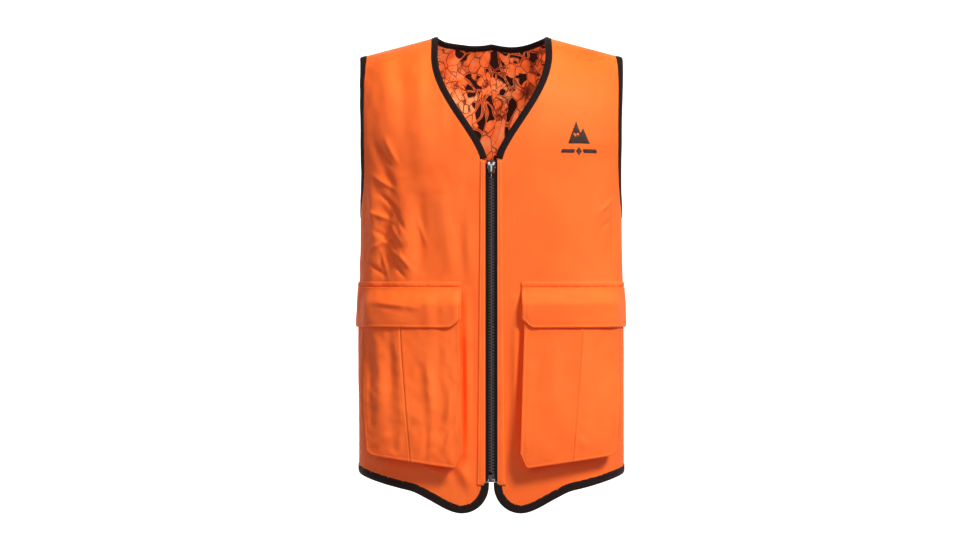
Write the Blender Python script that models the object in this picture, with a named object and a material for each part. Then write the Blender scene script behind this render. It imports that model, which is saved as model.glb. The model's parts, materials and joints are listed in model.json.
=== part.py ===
"""Hunting vest: two zipped fronts sewn to a back, with bindings, a separating zip and
two bellows pockets under flaps.

Metres, +Z up. The wearer faces -Y and the wearer's left is +X. The origin lies midway
between the shoulder seams, at the height of their neck ends, where the vest is carried.
Heights in the constants are measured up from the lowest point of the hem.
"""
import math

import bmesh
import bpy
from mathutils import Vector

# ---------------------------------------------------------------- overall sizes
VEST_HEIGHT = 0.722          # lowest hem to the neck end of a shoulder seam
HIP_HALF_WIDTH = 0.2035
CHEST_HALF_WIDTH = 0.2005
BODY_DEPTH = 0.122           # centre front or centre back to the side-seam plane
HIP_ROUNDNESS = 3.2          # superellipse exponents of the level sections
CHEST_ROUNDNESS = 2.8
HIP_HEIGHT = 0.25

# ---------------------------------------------------------------- shoulders, neck, armholes
SHOULDER_HALF_WIDTH = 0.2025
SHOULDER_DROP = 0.032        # fall of the shoulder seam from neck to tip
NECK_HALF_WIDTH = 0.082
NECK_DROP = 0.192            # shoulder seam down to the foot of the V
NECK_BEND = 0.85             # share of the V's height at which its sides turn upright
NECK_FULLNESS = 1.4
BACK_NECK_DROP = 0.004
FRONT_ROLL = 0.180           # where the chest starts to roll back, below the neck
BACK_ROLL = 0.160
ARMHOLE_HEIGHT = 0.238
ARMHOLE_REACH = 0.066        # how far the armhole runs in front of and behind the side seam
ARMHOLE_HALF_WIDTH = 0.198
ARMHOLE_BOW = 0.118          # underarm up to the armhole's most forward point

# ---------------------------------------------------------------- hem
TAIL_REACH = 0.044           # zip line to the lowest point of a front tail
TAIL_START = 0.0035
TAIL_RISE = 0.042
HEM_WAVE_RISE = 0.030
HEM_WAVE_WIDTH = 0.080
HEM_SIDE_RISE = 0.024
HEM_SIDE_START = 0.100
BACK_HEM_HEIGHT = 0.030

# ---------------------------------------------------------------- cloth
SHELL_THICKNESS = 0.0010
LINING_THICKNESS = 0.0008
TAPE_THICKNESS = 0.0008
LAYER_GAP = 0.0003
SEAM_GAP = 0.0004            # between pieces that are sewn edge to edge
BINDING_GAP = 0.0008         # between a cut edge and its binding, whose walls twist a little
ADD_ON_GAP = 0.0009          # a piece laid on the curved shell stands this far off it
BINDING_WIDTH = 0.010
HEM_BINDING_WIDTH = 0.012
BINDING_PROUD = 0.0003

# ---------------------------------------------------------------- zip
ZIP_BOTTOM = 0.047
FACING_INNER = 0.0090        # half width of the slot that shows the zip
FACING_WIDTH = 0.0105
CHAIN_SLOT = 0.0007          # half gap between the tooth heads
CHAIN_HALF_WIDTH = 0.0046
TOOTH_PITCH = 0.0044
TOOTH_HEAD = 0.0017
TOOTH_THICKNESS = 0.0026
SPINE_WIDTH = 0.0012
TAPE_WIDTH = 0.0136
TAPE_TONGUE = 0.0013         # strip of tape that carries the top stop
SLIDER_HALF_WIDTH = 0.0060
SLIDER_HALF_FOOT = 0.0042
SLIDER_HEIGHT = 0.0155
SLIDER_PLATE = 0.0011
SLIDER_PLAY = 0.0007         # from the teeth to each slider plate
SLIDER_LIP = 0.0008
SLIDER_WEB = 0.0008
STOP_HEIGHT = 0.0027
BOX_HEIGHT = 0.0105
BOX_THICKNESS = 0.0030
PIN_WIDTH = 0.0018
PIN_THICKNESS = 0.0014
PULL_LENGTH = 0.0225
PULL_WIDTH = 0.0076
PULL_THICKNESS = 0.0014
ARCH_WIDTH = 0.0022
ARCH_HALF_SPAN = 0.0035
ARCH_WALL = 0.0010
RUNNING_GAP = 0.0003

# ---------------------------------------------------------------- pockets
POCKET_INNER_TOP = 0.050     # zip line to the pocket's inner edge
POCKET_INNER_FOOT = 0.042
POCKET_SEAM = 0.126          # zip line to the seam down the middle of the pocket
POCKET_OUTER_TOP = 70.0      # degrees round the body from the centre front
POCKET_OUTER_FOOT = 61.0
POCKET_FOOT = 0.068
POCKET_FOOT_RISE = 0.020
POCKET_CHAMFER = 0.024
POCKET_CHAMFER_SHARE = 0.08
POCKET_CORNER = 0.008
POCKET_MOUTH = 0.312
MOUTH_HEM_WIDTH = 0.020
MOUTH_DEPTH = 0.009          # how far the bellows hold the pocket off at the mouth
FOOT_DEPTH = 0.024
FASTENER_HALF_WIDTH = 0.028
FASTENER_HEIGHT = 0.014
FASTENER_THICKNESS = 0.0008
FLAP_TOP = 0.337
FLAP_FOOT = 0.2765
FLAP_INNER = 0.0446
FLAP_OUTER = 83.0
FLAP_CHAMFER = 0.0135
FLAP_CHAMFER_WIDTH = 0.017
FLAP_THICKNESS = 0.0012
WELT_HEIGHT = 0.008

# ---------------------------------------------------------------- emblem on the wearer's left chest
EMBLEM_X = 0.131
EMBLEM_HEIGHT = 0.545
EMBLEM_HALF_WIDTH = 0.025
EMBLEM_RISE = 0.034
EMBLEM_THICKNESS = 0.0008

# ---------------------------------------------------------------- derived places
QUARTER = math.pi / 2
STEP = 1e-4
SHOULDER_TIP_HEIGHT = VEST_HEIGHT - SHOULDER_DROP
UNDERARM_HEIGHT = SHOULDER_TIP_HEIGHT - ARMHOLE_HEIGHT
V_FOOT_HEIGHT = VEST_HEIGHT - NECK_DROP
V_FOOT_HALF_WIDTH = SLIDER_HALF_WIDTH + 2 * RUNNING_GAP
LINING_DEPTH = SHELL_THICKNESS + TAPE_THICKNESS + 2 * LAYER_GAP
STACK_DEPTH = LINING_DEPTH + LINING_THICKNESS
CHAIN_DEPTH = SHELL_THICKNESS + LAYER_GAP + TAPE_THICKNESS / 2
FACING_OUTER = FACING_INNER + FACING_WIDTH
SIDE_HEM_HEIGHT = HEM_WAVE_RISE + HEM_SIDE_RISE
SIDE_AXIS_X = max(HIP_HALF_WIDTH, CHEST_HALF_WIDTH) + SEAM_GAP
SLIDER_TOP = V_FOOT_HEIGHT - STOP_HEIGHT - 0.0038
SLIDER_FOOT = SLIDER_TOP - SLIDER_HEIGHT
CHAIN_FOOT = ZIP_BOTTOM + BOX_HEIGHT + 0.0025
CHAIN_TOP = SLIDER_FOOT - RUNNING_GAP * 2
CARRY_HEIGHT = VEST_HEIGHT

# ---------------------------------------------------------------- colours
BLAZE_ORANGE = (0.95, 0.20, 0.028)
LINING_ORANGE = (0.78, 0.16, 0.035)
BINDING_BROWN = (0.018, 0.010, 0.008)
ZIP_BLACK = (0.020, 0.016, 0.015)
SLIDER_GREY = (0.32, 0.31, 0.32)
EMBLEM_BROWN = (0.030, 0.014, 0.008)


def clear_scene():
    """Empty the file this script runs in."""
    for item in list(bpy.data.objects):
        bpy.data.objects.remove(item, do_unlink=True)


def clamp(value, low=0.0, high=1.0):
    return max(low, min(high, value))


def smooth(value):
    """Ease from 0 to 1."""
    share = clamp(value)
    return share * share * (3 - 2 * share)


def mix(first, second, share):
    return first + (second - first) * share


def eased(height, knots):
    """A value that eases from one knot to the next as height rises."""
    for (low, start), (high, end) in zip(knots, knots[1:]):
        if height <= high:
            return mix(start, end, smooth((height - low) / (high - low)))
    return knots[-1][1]


def width_for(edge_x, edge_y):
    """Half width of the section that passes through a point of the armhole."""
    share = (edge_y / BODY_DEPTH) ** CHEST_ROUNDNESS
    return edge_x / (1 - share) ** (1 / CHEST_ROUNDNESS)


WIDTH_KNOTS = [
    (HIP_HEIGHT, HIP_HALF_WIDTH),
    (UNDERARM_HEIGHT, CHEST_HALF_WIDTH),
    (UNDERARM_HEIGHT + ARMHOLE_BOW, width_for(ARMHOLE_HALF_WIDTH, ARMHOLE_REACH)),
    (SHOULDER_TIP_HEIGHT, width_for(SHOULDER_HALF_WIDTH, ARMHOLE_REACH)),
]
ROUNDNESS_KNOTS = [(HIP_HEIGHT, HIP_ROUNDNESS), (UNDERARM_HEIGHT, CHEST_ROUNDNESS)]


def seam_height(x):
    """Height of the shoulder seam above a place across the body."""
    slope = SHOULDER_DROP / (SHOULDER_HALF_WIDTH - NECK_HALF_WIDTH)
    return VEST_HEIGHT - (abs(x) - NECK_HALF_WIDTH) * slope


class Skin:
    """The outer face of the front (facing -1) or the back (facing +1), on the +X side.

    A place is an angle round the body from the centre line and a rise. Below the roll
    the rise is the height; above it the rise turns over the shoulder, and the top rise
    is the shoulder seam.
    """

    def __init__(self, facing, roll_drop):
        self.facing = facing
        self.roll = VEST_HEIGHT - roll_drop
        self.top = self.roll + 1.3 * roll_drop

    def section(self, angle, height):
        """Distances across and out from the body's axis at a height."""
        power = eased(height, ROUNDNESS_KNOTS)
        half_width = eased(height, WIDTH_KNOTS)
        out_share = abs(math.cos(angle)) / BODY_DEPTH
        side_share = abs(math.sin(angle)) / half_width
        radius = (out_share ** power + side_share ** power) ** (-1 / power)
        return radius * math.sin(angle), radius * math.cos(angle)

    def point(self, angle, rise):
        across, out = self.section(angle, min(rise, self.roll))
        height = rise
        if rise > self.roll:
            turn = (rise - self.roll) / (self.top - self.roll) * QUARTER
            for _ in range(6):
                height = self.roll + (seam_height(across) - self.roll) * math.sin(turn)
                across, out = self.section(angle, height)
            out *= math.cos(turn)
        return Vector((across, self.facing * (out + SEAM_GAP / 2), height - CARRY_HEIGHT))

    def slopes(self, angle, rise):
        by_angle = self.point(angle + STEP, rise) - self.point(angle - STEP, rise)
        by_rise = self.point(angle, rise + STEP) - self.point(angle, rise - STEP)
        return by_angle / (2 * STEP), by_rise / (2 * STEP)

    def normal(self, angle, rise):
        """Unit vector pointing away from the wearer."""
        by_angle, by_rise = self.slopes(angle, rise)
        return (by_angle.cross(by_rise) * -self.facing).normalized()

    def at(self, place, depth=0.0):
        """A point a given depth inside the outer face; a negative depth stands proud."""
        return self.point(*place) - self.normal(*place) * depth

    def locate(self, x, height):
        """The place on the skin with this x and height."""
        rise = height
        if height > self.roll:
            share = (height - self.roll) / (seam_height(x) - self.roll)
            turn = math.asin(clamp(share, -1, 1))
            rise = self.roll + turn / QUARTER * (self.top - self.roll)
        low, high = 0.0, QUARTER
        for _ in range(40):
            middle = (low + high) / 2
            if self.section(middle, height)[0] < x:
                low = middle
            else:
                high = middle
        return ((low + high) / 2, rise)


FRONT = Skin(-1, FRONT_ROLL)
BACK = Skin(1, BACK_ROLL)


# ---------------------------------------------------------------- outlines on the skin
def armhole_edge(skin, count=16):
    """From the underarm forward and up to the shoulder tip."""
    forward = math.atan2(ARMHOLE_HALF_WIDTH, ARMHOLE_REACH)
    tip = skin.locate(SHOULDER_HALF_WIDTH, SHOULDER_TIP_HEIGHT - 1e-6)[0]
    bow = skin.locate(ARMHOLE_HALF_WIDTH, UNDERARM_HEIGHT + ARMHOLE_BOW)[1]
    places = []
    for step in range(count // 2 + 1):
        turn = QUARTER * step / (count // 2)
        angle = QUARTER - (QUARTER - forward) * math.sin(turn)
        places.append((angle, bow - (bow - UNDERARM_HEIGHT) * math.cos(turn)))
    upper = count - count // 2
    for step in range(1, upper + 1):
        share = step / upper
        places.append((mix(forward, tip, smooth(share)), mix(bow, skin.top, share)))
    return places


def neck_edge_front(count=14):
    """From the foot of the V up to the shoulder seam."""
    places = []
    for step in range(count + 1):
        share = step / count
        height = mix(V_FOOT_HEIGHT, VEST_HEIGHT - 1e-7, math.sin(share * QUARTER))
        turn = clamp((height - V_FOOT_HEIGHT) / (NECK_DROP * NECK_BEND)) * QUARTER
        reach = (NECK_HALF_WIDTH - V_FOOT_HALF_WIDTH) * math.sin(turn) ** NECK_FULLNESS
        places.append(FRONT.locate(V_FOOT_HALF_WIDTH + reach, height))
    places[-1] = (places[-1][0], FRONT.top)
    return places


def neck_edge_back(count=8):
    """From the centre back round to the shoulder seam."""
    corner = BACK.locate(NECK_HALF_WIDTH, VEST_HEIGHT - 1e-7)
    low = BACK.locate(0.0, VEST_HEIGHT - BACK_NECK_DROP)[1]
    places = []
    for step in range(count + 1):
        turn = QUARTER * step / count
        places.append((corner[0] * math.sin(turn), BACK.top - (BACK.top - low) * math.cos(turn)))
    return places


def front_hem_height(x):
    """Height of the front hem: a rounded tail, a wave and the rise to the side seam."""
    if x < TAIL_REACH:
        share = (TAIL_REACH - x) / (TAIL_REACH - TAIL_START)
        return TAIL_RISE * (1 - math.sqrt(max(0.0, 1 - share * share)))
    wave = HEM_WAVE_RISE * smooth((x - TAIL_REACH) / HEM_WAVE_WIDTH)
    side = clamp((x - HEM_SIDE_START) / (HIP_HALF_WIDTH - HEM_SIDE_START))
    return wave + HEM_SIDE_RISE * side ** 1.3


def hem_edge_front(tail=7, rest=15):
    """From the foot of the zip round the tail to the side seam."""
    places = []
    for step in range(tail):
        share = math.sin(QUARTER * step / tail) ** 2
        x = mix(TAIL_START, TAIL_REACH, share)
        places.append(FRONT.locate(x, front_hem_height(x)))
    start = FRONT.locate(TAIL_REACH, 0.0)[0]
    for step in range(rest + 1):
        angle = mix(start, QUARTER, step / rest)
        height = front_hem_height(FRONT.section(angle, SIDE_HEM_HEIGHT)[0])
        places.append((angle, height))
    return places


def hem_edge_back(count=14):
    """From the centre back to the side seam."""
    places = []
    for step in range(count + 1):
        angle = QUARTER * step / count
        share = BACK.section(angle, SIDE_HEM_HEIGHT)[0] / HIP_HALF_WIDTH
        places.append((angle, mix(BACK_HEM_HEIGHT, SIDE_HEM_HEIGHT, share * share)))
    return places


def inset(skin, places, distance, turn, keep_first=None, keep_last=None):
    """Move an edge sideways over the skin. keep_first and keep_last name the coordinate
    (0 angle, 1 rise) that an end holds, so that it stays on its seam."""
    points = [skin.at(place) for place in places]
    moved = []
    for index, place in enumerate(places):
        before = points[max(index - 1, 0)]
        after = points[min(index + 1, len(points) - 1)]
        along = (after - before).normalized()
        sideways = skin.normal(*place).cross(along) * turn
        by_angle, by_rise = skin.slopes(*place)
        a, b, c = by_angle.dot(by_angle), by_angle.dot(by_rise), by_rise.dot(by_rise)
        p, q = sideways.dot(by_angle), sideways.dot(by_rise)
        scale = distance / (a * c - b * b)
        moved.append([place[0] + (c * p - b * q) * scale, place[1] + (a * q - b * p) * scale])
    for index, kept in ((0, keep_first), (-1, keep_last)):
        if kept is not None:
            moved[index][kept] = places[index][kept]
    return [tuple(place) for place in moved]


def evened(skin, places, count):
    """The same line with evenly spaced places."""
    lengths = [0.0]
    for first, second in zip(places, places[1:]):
        lengths.append(lengths[-1] + (skin.at(second) - skin.at(first)).length)
    result = []
    for step in range(count + 1):
        target = lengths[-1] * step / count
        index = 0
        while index < len(places) - 2 and lengths[index + 1] < target:
            index += 1
        rest = (target - lengths[index]) / (lengths[index + 1] - lengths[index])
        first, second = places[index], places[index + 1]
        result.append((mix(first[0], second[0], rest), mix(first[1], second[1], rest)))
    return result


def height_on(skin, places, x):
    """Height at which a line on the skin passes a given x."""
    points = [skin.at(place) for place in places]
    for first, second in zip(points, points[1:]):
        if (first.x - x) * (second.x - x) <= 0 and first.x != second.x:
            return mix(first.z, second.z, (x - first.x) / (second.x - first.x)) + CARRY_HEIGHT
    return points[0].z + CARRY_HEIGHT


# ---------------------------------------------------------------- solids
MATERIALS = {}


def material(name, colour, roughness, metallic=0.0):
    """A named Principled material, made once."""
    if name not in MATERIALS:
        made = bpy.data.materials.new(name)
        made.use_nodes = True
        shader = made.node_tree.nodes["Principled BSDF"]
        shader.inputs["Base Color"].default_value = (*colour, 1.0)
        shader.inputs["Roughness"].default_value = roughness
        shader.inputs["Metallic"].default_value = metallic
        made.diffuse_color = (*colour, 1.0)
        MATERIALS[name] = made
    return MATERIALS[name]


FINISHES = {
    "shell": ("blaze_shell", BLAZE_ORANGE, 0.75, 0.0),
    "lining": ("lining_print", LINING_ORANGE, 0.8, 0.0),
    "binding": ("edge_binding", BINDING_BROWN, 0.85, 0.0),
    "zip": ("zip_plastic", ZIP_BLACK, 0.45, 0.0),
    "slider": ("slider_metal", SLIDER_GREY, 0.35, 1.0),
    "tape": ("zip_tape", ZIP_BLACK, 0.85, 0.0),
    "fastener": ("touch_tape", BLAZE_ORANGE, 0.95, 0.0),
    "emblem": ("emblem_thread", EMBLEM_BROWN, 0.6, 0.0),
}

JOINTS = {}


def joint_empty(name, place):
    """An empty on a joint's axis, which carries the pieces that move with it."""
    empty = bpy.data.objects.new("joint_" + name, None)
    empty.location = place
    bpy.context.scene.collection.objects.link(empty)
    JOINTS[name] = empty


def place_mesh(name, mesh_data, finish, joint=None):
    """Make the object; its mesh is measured from its joint's empty."""
    bmesh.ops.recalc_face_normals(mesh_data, faces=mesh_data.faces)
    origin = JOINTS[joint].location if joint else Vector()
    bmesh.ops.translate(mesh_data, verts=mesh_data.verts, vec=-origin)
    mesh = bpy.data.meshes.new(name)
    mesh_data.to_mesh(mesh)
    mesh_data.free()
    mesh.materials.append(material(*FINISHES[finish]))
    piece = bpy.data.objects.new(name, mesh)
    bpy.context.scene.collection.objects.link(piece)
    if joint:
        piece.parent = JOINTS[joint]
    return piece


def slab(name, outer, inner, finish, joint=None, side=1):
    """A sheet of cloth: the outer grid is extruded to the inner grid."""
    bm = bmesh.new()
    grid = []
    for row in outer:
        grid.append([bm.verts.new((point.x * side, point.y, point.z)) for point in row])
    for low, high in zip(grid, grid[1:]):
        for first, second, third, fourth in zip(low, low[1:], high[1:], high):
            bm.faces.new((first, second, third, fourth))
    bmesh.ops.triangulate(bm, faces=bm.faces, quad_method="FIXED")
    targets = {}
    for verts, row in zip(grid, inner):
        for vert, point in zip(verts, row):
            targets[tuple(vert.co)] = Vector((point.x * side, point.y, point.z))
    extruded = bmesh.ops.extrude_face_region(bm, geom=list(bm.faces))
    for item in extruded["geom"]:
        if isinstance(item, bmesh.types.BMVert):
            item.co = targets[tuple(item.co)]
    return place_mesh(name, bm, finish, joint)


def skin_slab(name, skin, places, depths, finish, joint=None, side=1):
    """A slab over a grid of places, from the first depth to the second."""
    outer = [[skin.at(place, depths[0]) for place in row] for row in places]
    inner = [[skin.at(place, depths[1]) for place in row] for row in places]
    return slab(name, outer, inner, finish, joint, side)


def prism(name, outline, y_front, y_back, finish, joint=None, side=1):
    """An outline of (x, height) points extruded along y."""
    bm = bmesh.new()
    verts = [bm.verts.new((x * side, y_front, height - CARRY_HEIGHT)) for x, height in outline]
    face = bm.faces.new(verts)
    made = bmesh.ops.extrude_face_region(bm, geom=[face])
    moved = [item for item in made["geom"] if isinstance(item, bmesh.types.BMVert)]
    bmesh.ops.translate(bm, verts=moved, vec=(0, y_back - y_front, 0))
    return place_mesh(name, bm, finish, joint)


def cut_with(piece, cutter, operation):
    """Apply a Boolean as a modifier and hide the cutter."""
    boolean = piece.modifiers.new("cut", "BOOLEAN")
    boolean.operation = operation
    boolean.solver = "EXACT"
    boolean.object = cutter
    cutter.hide_render = True
    cutter.display_type = "WIRE"


# ---------------------------------------------------------------- panels
HEM_COLUMNS = 13
LOW_ROWS = 8
HIGH_ROWS = 10
BACK_COLUMNS = 10
NECK_COLUMNS = 5


def armhole_seam(skin):
    """Where shell and lining end at the armhole, just inside the binding."""
    edge = inset(skin, armhole_edge(skin), BINDING_WIDTH + BINDING_GAP, -skin.facing, 0, 1)
    return evened(skin, edge, HIGH_ROWS)


def neck_seam_front():
    edge = inset(FRONT, neck_edge_front(), BINDING_WIDTH + BINDING_GAP, -1, keep_last=1)
    return evened(FRONT, edge, HIGH_ROWS)


def neck_seam_back():
    edge = inset(BACK, neck_edge_back(), BINDING_WIDTH + BINDING_GAP, 1, 0, 1)
    return evened(BACK, edge, NECK_COLUMNS)


def hem_seam_front():
    edge = inset(FRONT, hem_edge_front(), HEM_BINDING_WIDTH + BINDING_GAP, 1, keep_last=0)
    return evened(FRONT, edge, HEM_COLUMNS)


def hem_seam_back():
    edge = inset(BACK, hem_edge_back(), HEM_BINDING_WIDTH + BINDING_GAP, -1, 0, 0)
    return evened(BACK, edge, BACK_COLUMNS)


def from_x(skin, places, x):
    """The part of a line that lies beyond x, starting exactly at x where it crosses it."""
    points = [skin.at(place).x for place in places]
    for index in range(len(places) - 1):
        if points[index] < x <= points[index + 1]:
            share = (x - points[index]) / (points[index + 1] - points[index])
            start = tuple(mix(places[index][axis], places[index + 1][axis], share)
                          for axis in (0, 1))
            return [start] + places[index + 1:]
    return list(places)


def blended_row(first, last, columns):
    """Places evenly spread from the first to the last."""
    return [(mix(first[0], last[0], column / columns), mix(first[1], last[1], column / columns))
            for column in range(columns + 1)]


def front_panel(edge_x):
    """Grid of one front from its zip edge to the side seam and the armhole."""
    hem = from_x(FRONT, hem_seam_front(), edge_x)
    columns = len(hem) - 1
    seam = neck_seam_front()
    corner = from_x(FRONT, seam[:2], edge_x)[0]
    neck = [corner] + seam[1:]
    arm = armhole_seam(FRONT)
    head = blended_row(neck[0], arm[0], columns)
    foot = ZIP_BOTTOM - SEAM_GAP
    rows = []
    for row in range(LOW_ROWS):
        share = row / LOW_ROWS
        line = [(mix(low[0], high[0], share), mix(low[1], high[1], share))
                for low, high in zip(hem, head)]
        if row:
            height = mix(foot, V_FOOT_HEIGHT - BINDING_WIDTH, (row - 1) / (LOW_ROWS - 1))
            line[0] = FRONT.locate(edge_x, height)
        rows.append(line)
    rows += [blended_row(first, last, columns) for first, last in zip(neck, arm)]
    return rows


def back_panel():
    """Grid of the half of the back from its centre line to the side seam and the armhole."""
    hem = hem_seam_back()
    arm = armhole_seam(BACK)
    top = neck_seam_back()
    shoulder = blended_row(top[-1], arm[-1], BACK_COLUMNS - NECK_COLUMNS)
    top += shoulder[1:]
    waist = blended_row((0.0, arm[0][1]), arm[0], BACK_COLUMNS)
    rows = []
    for row in range(LOW_ROWS):
        share = row / LOW_ROWS
        rows.append([(mix(low[0], high[0], share), mix(low[1], high[1], share))
                     for low, high in zip(hem, waist)])
    for row in range(HIGH_ROWS + 1):
        share = row / HIGH_ROWS
        line = []
        for column in range(BACK_COLUMNS + 1):
            across = column / BACK_COLUMNS
            place = []
            for axis in (0, 1):
                lofted = mix(waist[column][axis], top[column][axis], share)
                border = mix(waist[-1][axis], top[-1][axis], share)
                place.append(lofted + (arm[row][axis] - border) * across)
            line.append(tuple(place))
        rows.append(line)
    return rows


def both_halves(rows):
    """Points of the whole back from the grid of its +X half."""
    whole = []
    for row in rows:
        mirrored = [Vector((-point.x, point.y, point.z)) for point in reversed(row[1:])]
        whole.append(mirrored + list(row))
    return whole


def ribbon(name, skin, seam, width, turn, keep, joint=None, side=1, whole=False):
    """An edge binding folded round the shell and the lining, outside a seam line."""
    near = inset(skin, seam, -BINDING_GAP, turn, *keep)
    far = inset(skin, seam, -BINDING_GAP - width, turn, *keep)
    depths = (-BINDING_PROUD, STACK_DEPTH + BINDING_PROUD)
    faces = []
    for depth in depths:
        line = [[skin.at(place, depth) for place in edge] for edge in (near, far)]
        faces.append(both_halves(line) if whole else line)
    slab(name, faces[0], faces[1], "binding", joint, side)


def build_back():
    places = back_panel()
    for name, depths, finish in (
        ("back_shell", (0.0, SHELL_THICKNESS), "shell"),
        ("back_lining", (LINING_DEPTH, STACK_DEPTH), "lining"),
    ):
        outer = both_halves([[BACK.at(place, depths[0]) for place in row] for row in places])
        inner = both_halves([[BACK.at(place, depths[1]) for place in row] for row in places])
        slab(name, outer, inner, finish)
    ribbon("neck_binding_back", BACK, neck_seam_back(), BINDING_WIDTH, 1, (0, 1), whole=True)
    ribbon("hem_binding_back", BACK, hem_seam_back(), HEM_BINDING_WIDTH, -1, (0, 0), whole=True)
    for word, side in (("left", 1), ("right", -1)):
        ribbon("armhole_binding_back_" + word, BACK, armhole_seam(BACK), BINDING_WIDTH, -1,
               (0, 1), side=side)


def build_front(word, side):
    joint = "front_" + word
    shell = front_panel(FACING_OUTER + SEAM_GAP)
    skin_slab("front_shell_" + word, FRONT, shell, (0.0, SHELL_THICKNESS), "shell", joint, side)
    skin_slab("front_lining_" + word, FRONT, shell, (LINING_DEPTH, STACK_DEPTH), "lining",
              joint, side)
    ribbon("neck_binding_" + word, FRONT, neck_seam_front(), BINDING_WIDTH, -1, (None, 1),
           joint, side)
    ribbon("hem_binding_" + word, FRONT, hem_seam_front(), HEM_BINDING_WIDTH, 1, (None, 0),
           joint, side)
    ribbon("armhole_binding_front_" + word, FRONT, armhole_seam(FRONT), BINDING_WIDTH, 1,
           (0, 1), joint, side)
    build_facing(word, side)


def build_facing(word, side):
    """The strips stitched down beside the zip, one on each face of its tape."""
    hem = hem_seam_front()
    neck = neck_seam_front()
    middle = FRONT.at(hem[0]).x + SEAM_GAP
    columns = (FACING_INNER, middle, FACING_OUTER)
    foot = FRONT.at(hem[0]).z + CARRY_HEIGHT + 2 * SEAM_GAP
    head = V_FOOT_HEIGHT - BINDING_WIDTH
    feet = (foot, foot, height_on(FRONT, hem, FACING_OUTER) + SEAM_GAP)
    heads = (head, head, height_on(FRONT, neck, FACING_OUTER) - SEAM_GAP)
    rows = []
    count = 10
    for row in range(count + 1):
        rows.append([FRONT.locate(x, mix(low, high, row / count))
                     for x, low, high in zip(columns, feet, heads)])
    joint = "front_" + word
    skin_slab("zip_facing_" + word, FRONT, rows, (-BINDING_PROUD, SHELL_THICKNESS), "shell",
              joint, side)
    skin_slab("lining_facing_" + word, FRONT, rows, (LINING_DEPTH, STACK_DEPTH), "lining",
              joint, side)


# ---------------------------------------------------------------- zip
def chain_y(depth):
    """y of a depth below the skin on the zip's straight, upright line."""
    return -(BODY_DEPTH + SEAM_GAP / 2) + depth


def build_teeth(word, side):
    """A comb of teeth along one tape; the two combs are half a pitch apart."""
    joint = "front_" + word
    head_end = CHAIN_SLOT
    root = CHAIN_HALF_WIDTH - SPINE_WIDTH
    count = int((CHAIN_TOP - CHAIN_FOOT) / TOOTH_PITCH) - 1
    start = CHAIN_FOOT + (0 if side > 0 else TOOTH_PITCH / 2)
    outline = [(CHAIN_HALF_WIDTH, CHAIN_FOOT), (CHAIN_HALF_WIDTH, CHAIN_TOP), (root, CHAIN_TOP)]
    for tooth in reversed(range(count)):
        middle = start + (tooth + 0.5) * TOOTH_PITCH
        half = TOOTH_HEAD / 2
        outline.append((root, middle + half * 0.7))
        outline.append((head_end, middle + half))
        outline.append((head_end, middle - half))
        outline.append((root, middle - half * 0.7))
    outline.append((root, CHAIN_FOOT))
    half_thickness = TOOTH_THICKNESS / 2
    prism("zip_teeth_" + word, outline, chain_y(CHAIN_DEPTH - half_thickness),
          chain_y(CHAIN_DEPTH + half_thickness), "zip", joint, side)


def build_tape(word, side):
    """The woven tape that carries the teeth, sewn between shell and lining."""
    start = CHAIN_HALF_WIDTH + LAYER_GAP
    columns = (start, start + TAPE_TONGUE, start + TAPE_TONGUE + 0.0007, start + TAPE_WIDTH)
    stop_top = SLIDER_TOP + RUNNING_GAP + STOP_HEIGHT
    body_top = V_FOOT_HEIGHT - 0.0100
    heads = (stop_top, stop_top, body_top, body_top)
    rows = []
    count = 8
    for row in range(count + 1):
        rows.append([(x, mix(ZIP_BOTTOM, head, row / count)) for x, head in zip(columns, heads)])
    front = chain_y(CHAIN_DEPTH - TAPE_THICKNESS / 2)
    back = chain_y(CHAIN_DEPTH + TAPE_THICKNESS / 2)
    outer = [[Vector((x, front, height - CARRY_HEIGHT)) for x, height in row] for row in rows]
    inner = [[Vector((x, back, height - CARRY_HEIGHT)) for x, height in row] for row in rows]
    slab("zip_tape_" + word, outer, inner, "tape", "front_" + word, side)


def build_top_stop(word, side):
    low = SLIDER_TOP + RUNNING_GAP
    near = SLIDER_WEB / 2 + 2 * RUNNING_GAP
    outline = [(near, low), (CHAIN_HALF_WIDTH, low), (CHAIN_HALF_WIDTH, low + STOP_HEIGHT),
               (near, low + STOP_HEIGHT)]
    prism("zip_top_stop_" + word, outline, chain_y(CHAIN_DEPTH - PIN_THICKNESS / 2),
          chain_y(CHAIN_DEPTH + PIN_THICKNESS / 2), "zip", "front_" + word, side)


def build_zip_foot():
    """The insertion pin on the left tape and the retainer box on the right tape."""
    notch_in = SLIDER_WEB / 2 + RUNNING_GAP + 0.0002
    pin_in = notch_in + RUNNING_GAP
    pin_out = pin_in + PIN_WIDTH
    notch_out = pin_out + RUNNING_GAP
    box_top = ZIP_BOTTOM + BOX_HEIGHT
    notch_foot = ZIP_BOTTOM + 0.0030
    pin_top = CHAIN_FOOT - RUNNING_GAP
    wing = box_top + RUNNING_GAP
    pin = [(pin_in, notch_foot + RUNNING_GAP), (pin_out, notch_foot + RUNNING_GAP),
           (pin_out, wing), (CHAIN_HALF_WIDTH, wing), (CHAIN_HALF_WIDTH, pin_top),
           (pin_in, pin_top)]
    prism("zip_insertion_pin", pin, chain_y(CHAIN_DEPTH - PIN_THICKNESS / 2),
          chain_y(CHAIN_DEPTH + PIN_THICKNESS / 2), "zip", "front_left")
    box = [(-CHAIN_HALF_WIDTH, ZIP_BOTTOM), (CHAIN_HALF_WIDTH, ZIP_BOTTOM),
           (CHAIN_HALF_WIDTH, box_top), (notch_out, box_top), (notch_out, notch_foot),
           (notch_in, notch_foot), (notch_in, box_top), (-CHAIN_HALF_WIDTH, box_top)]
    prism("zip_retainer_box", box, chain_y(CHAIN_DEPTH - BOX_THICKNESS / 2),
          chain_y(CHAIN_DEPTH + BOX_THICKNESS / 2), "zip", "front_right")


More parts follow.
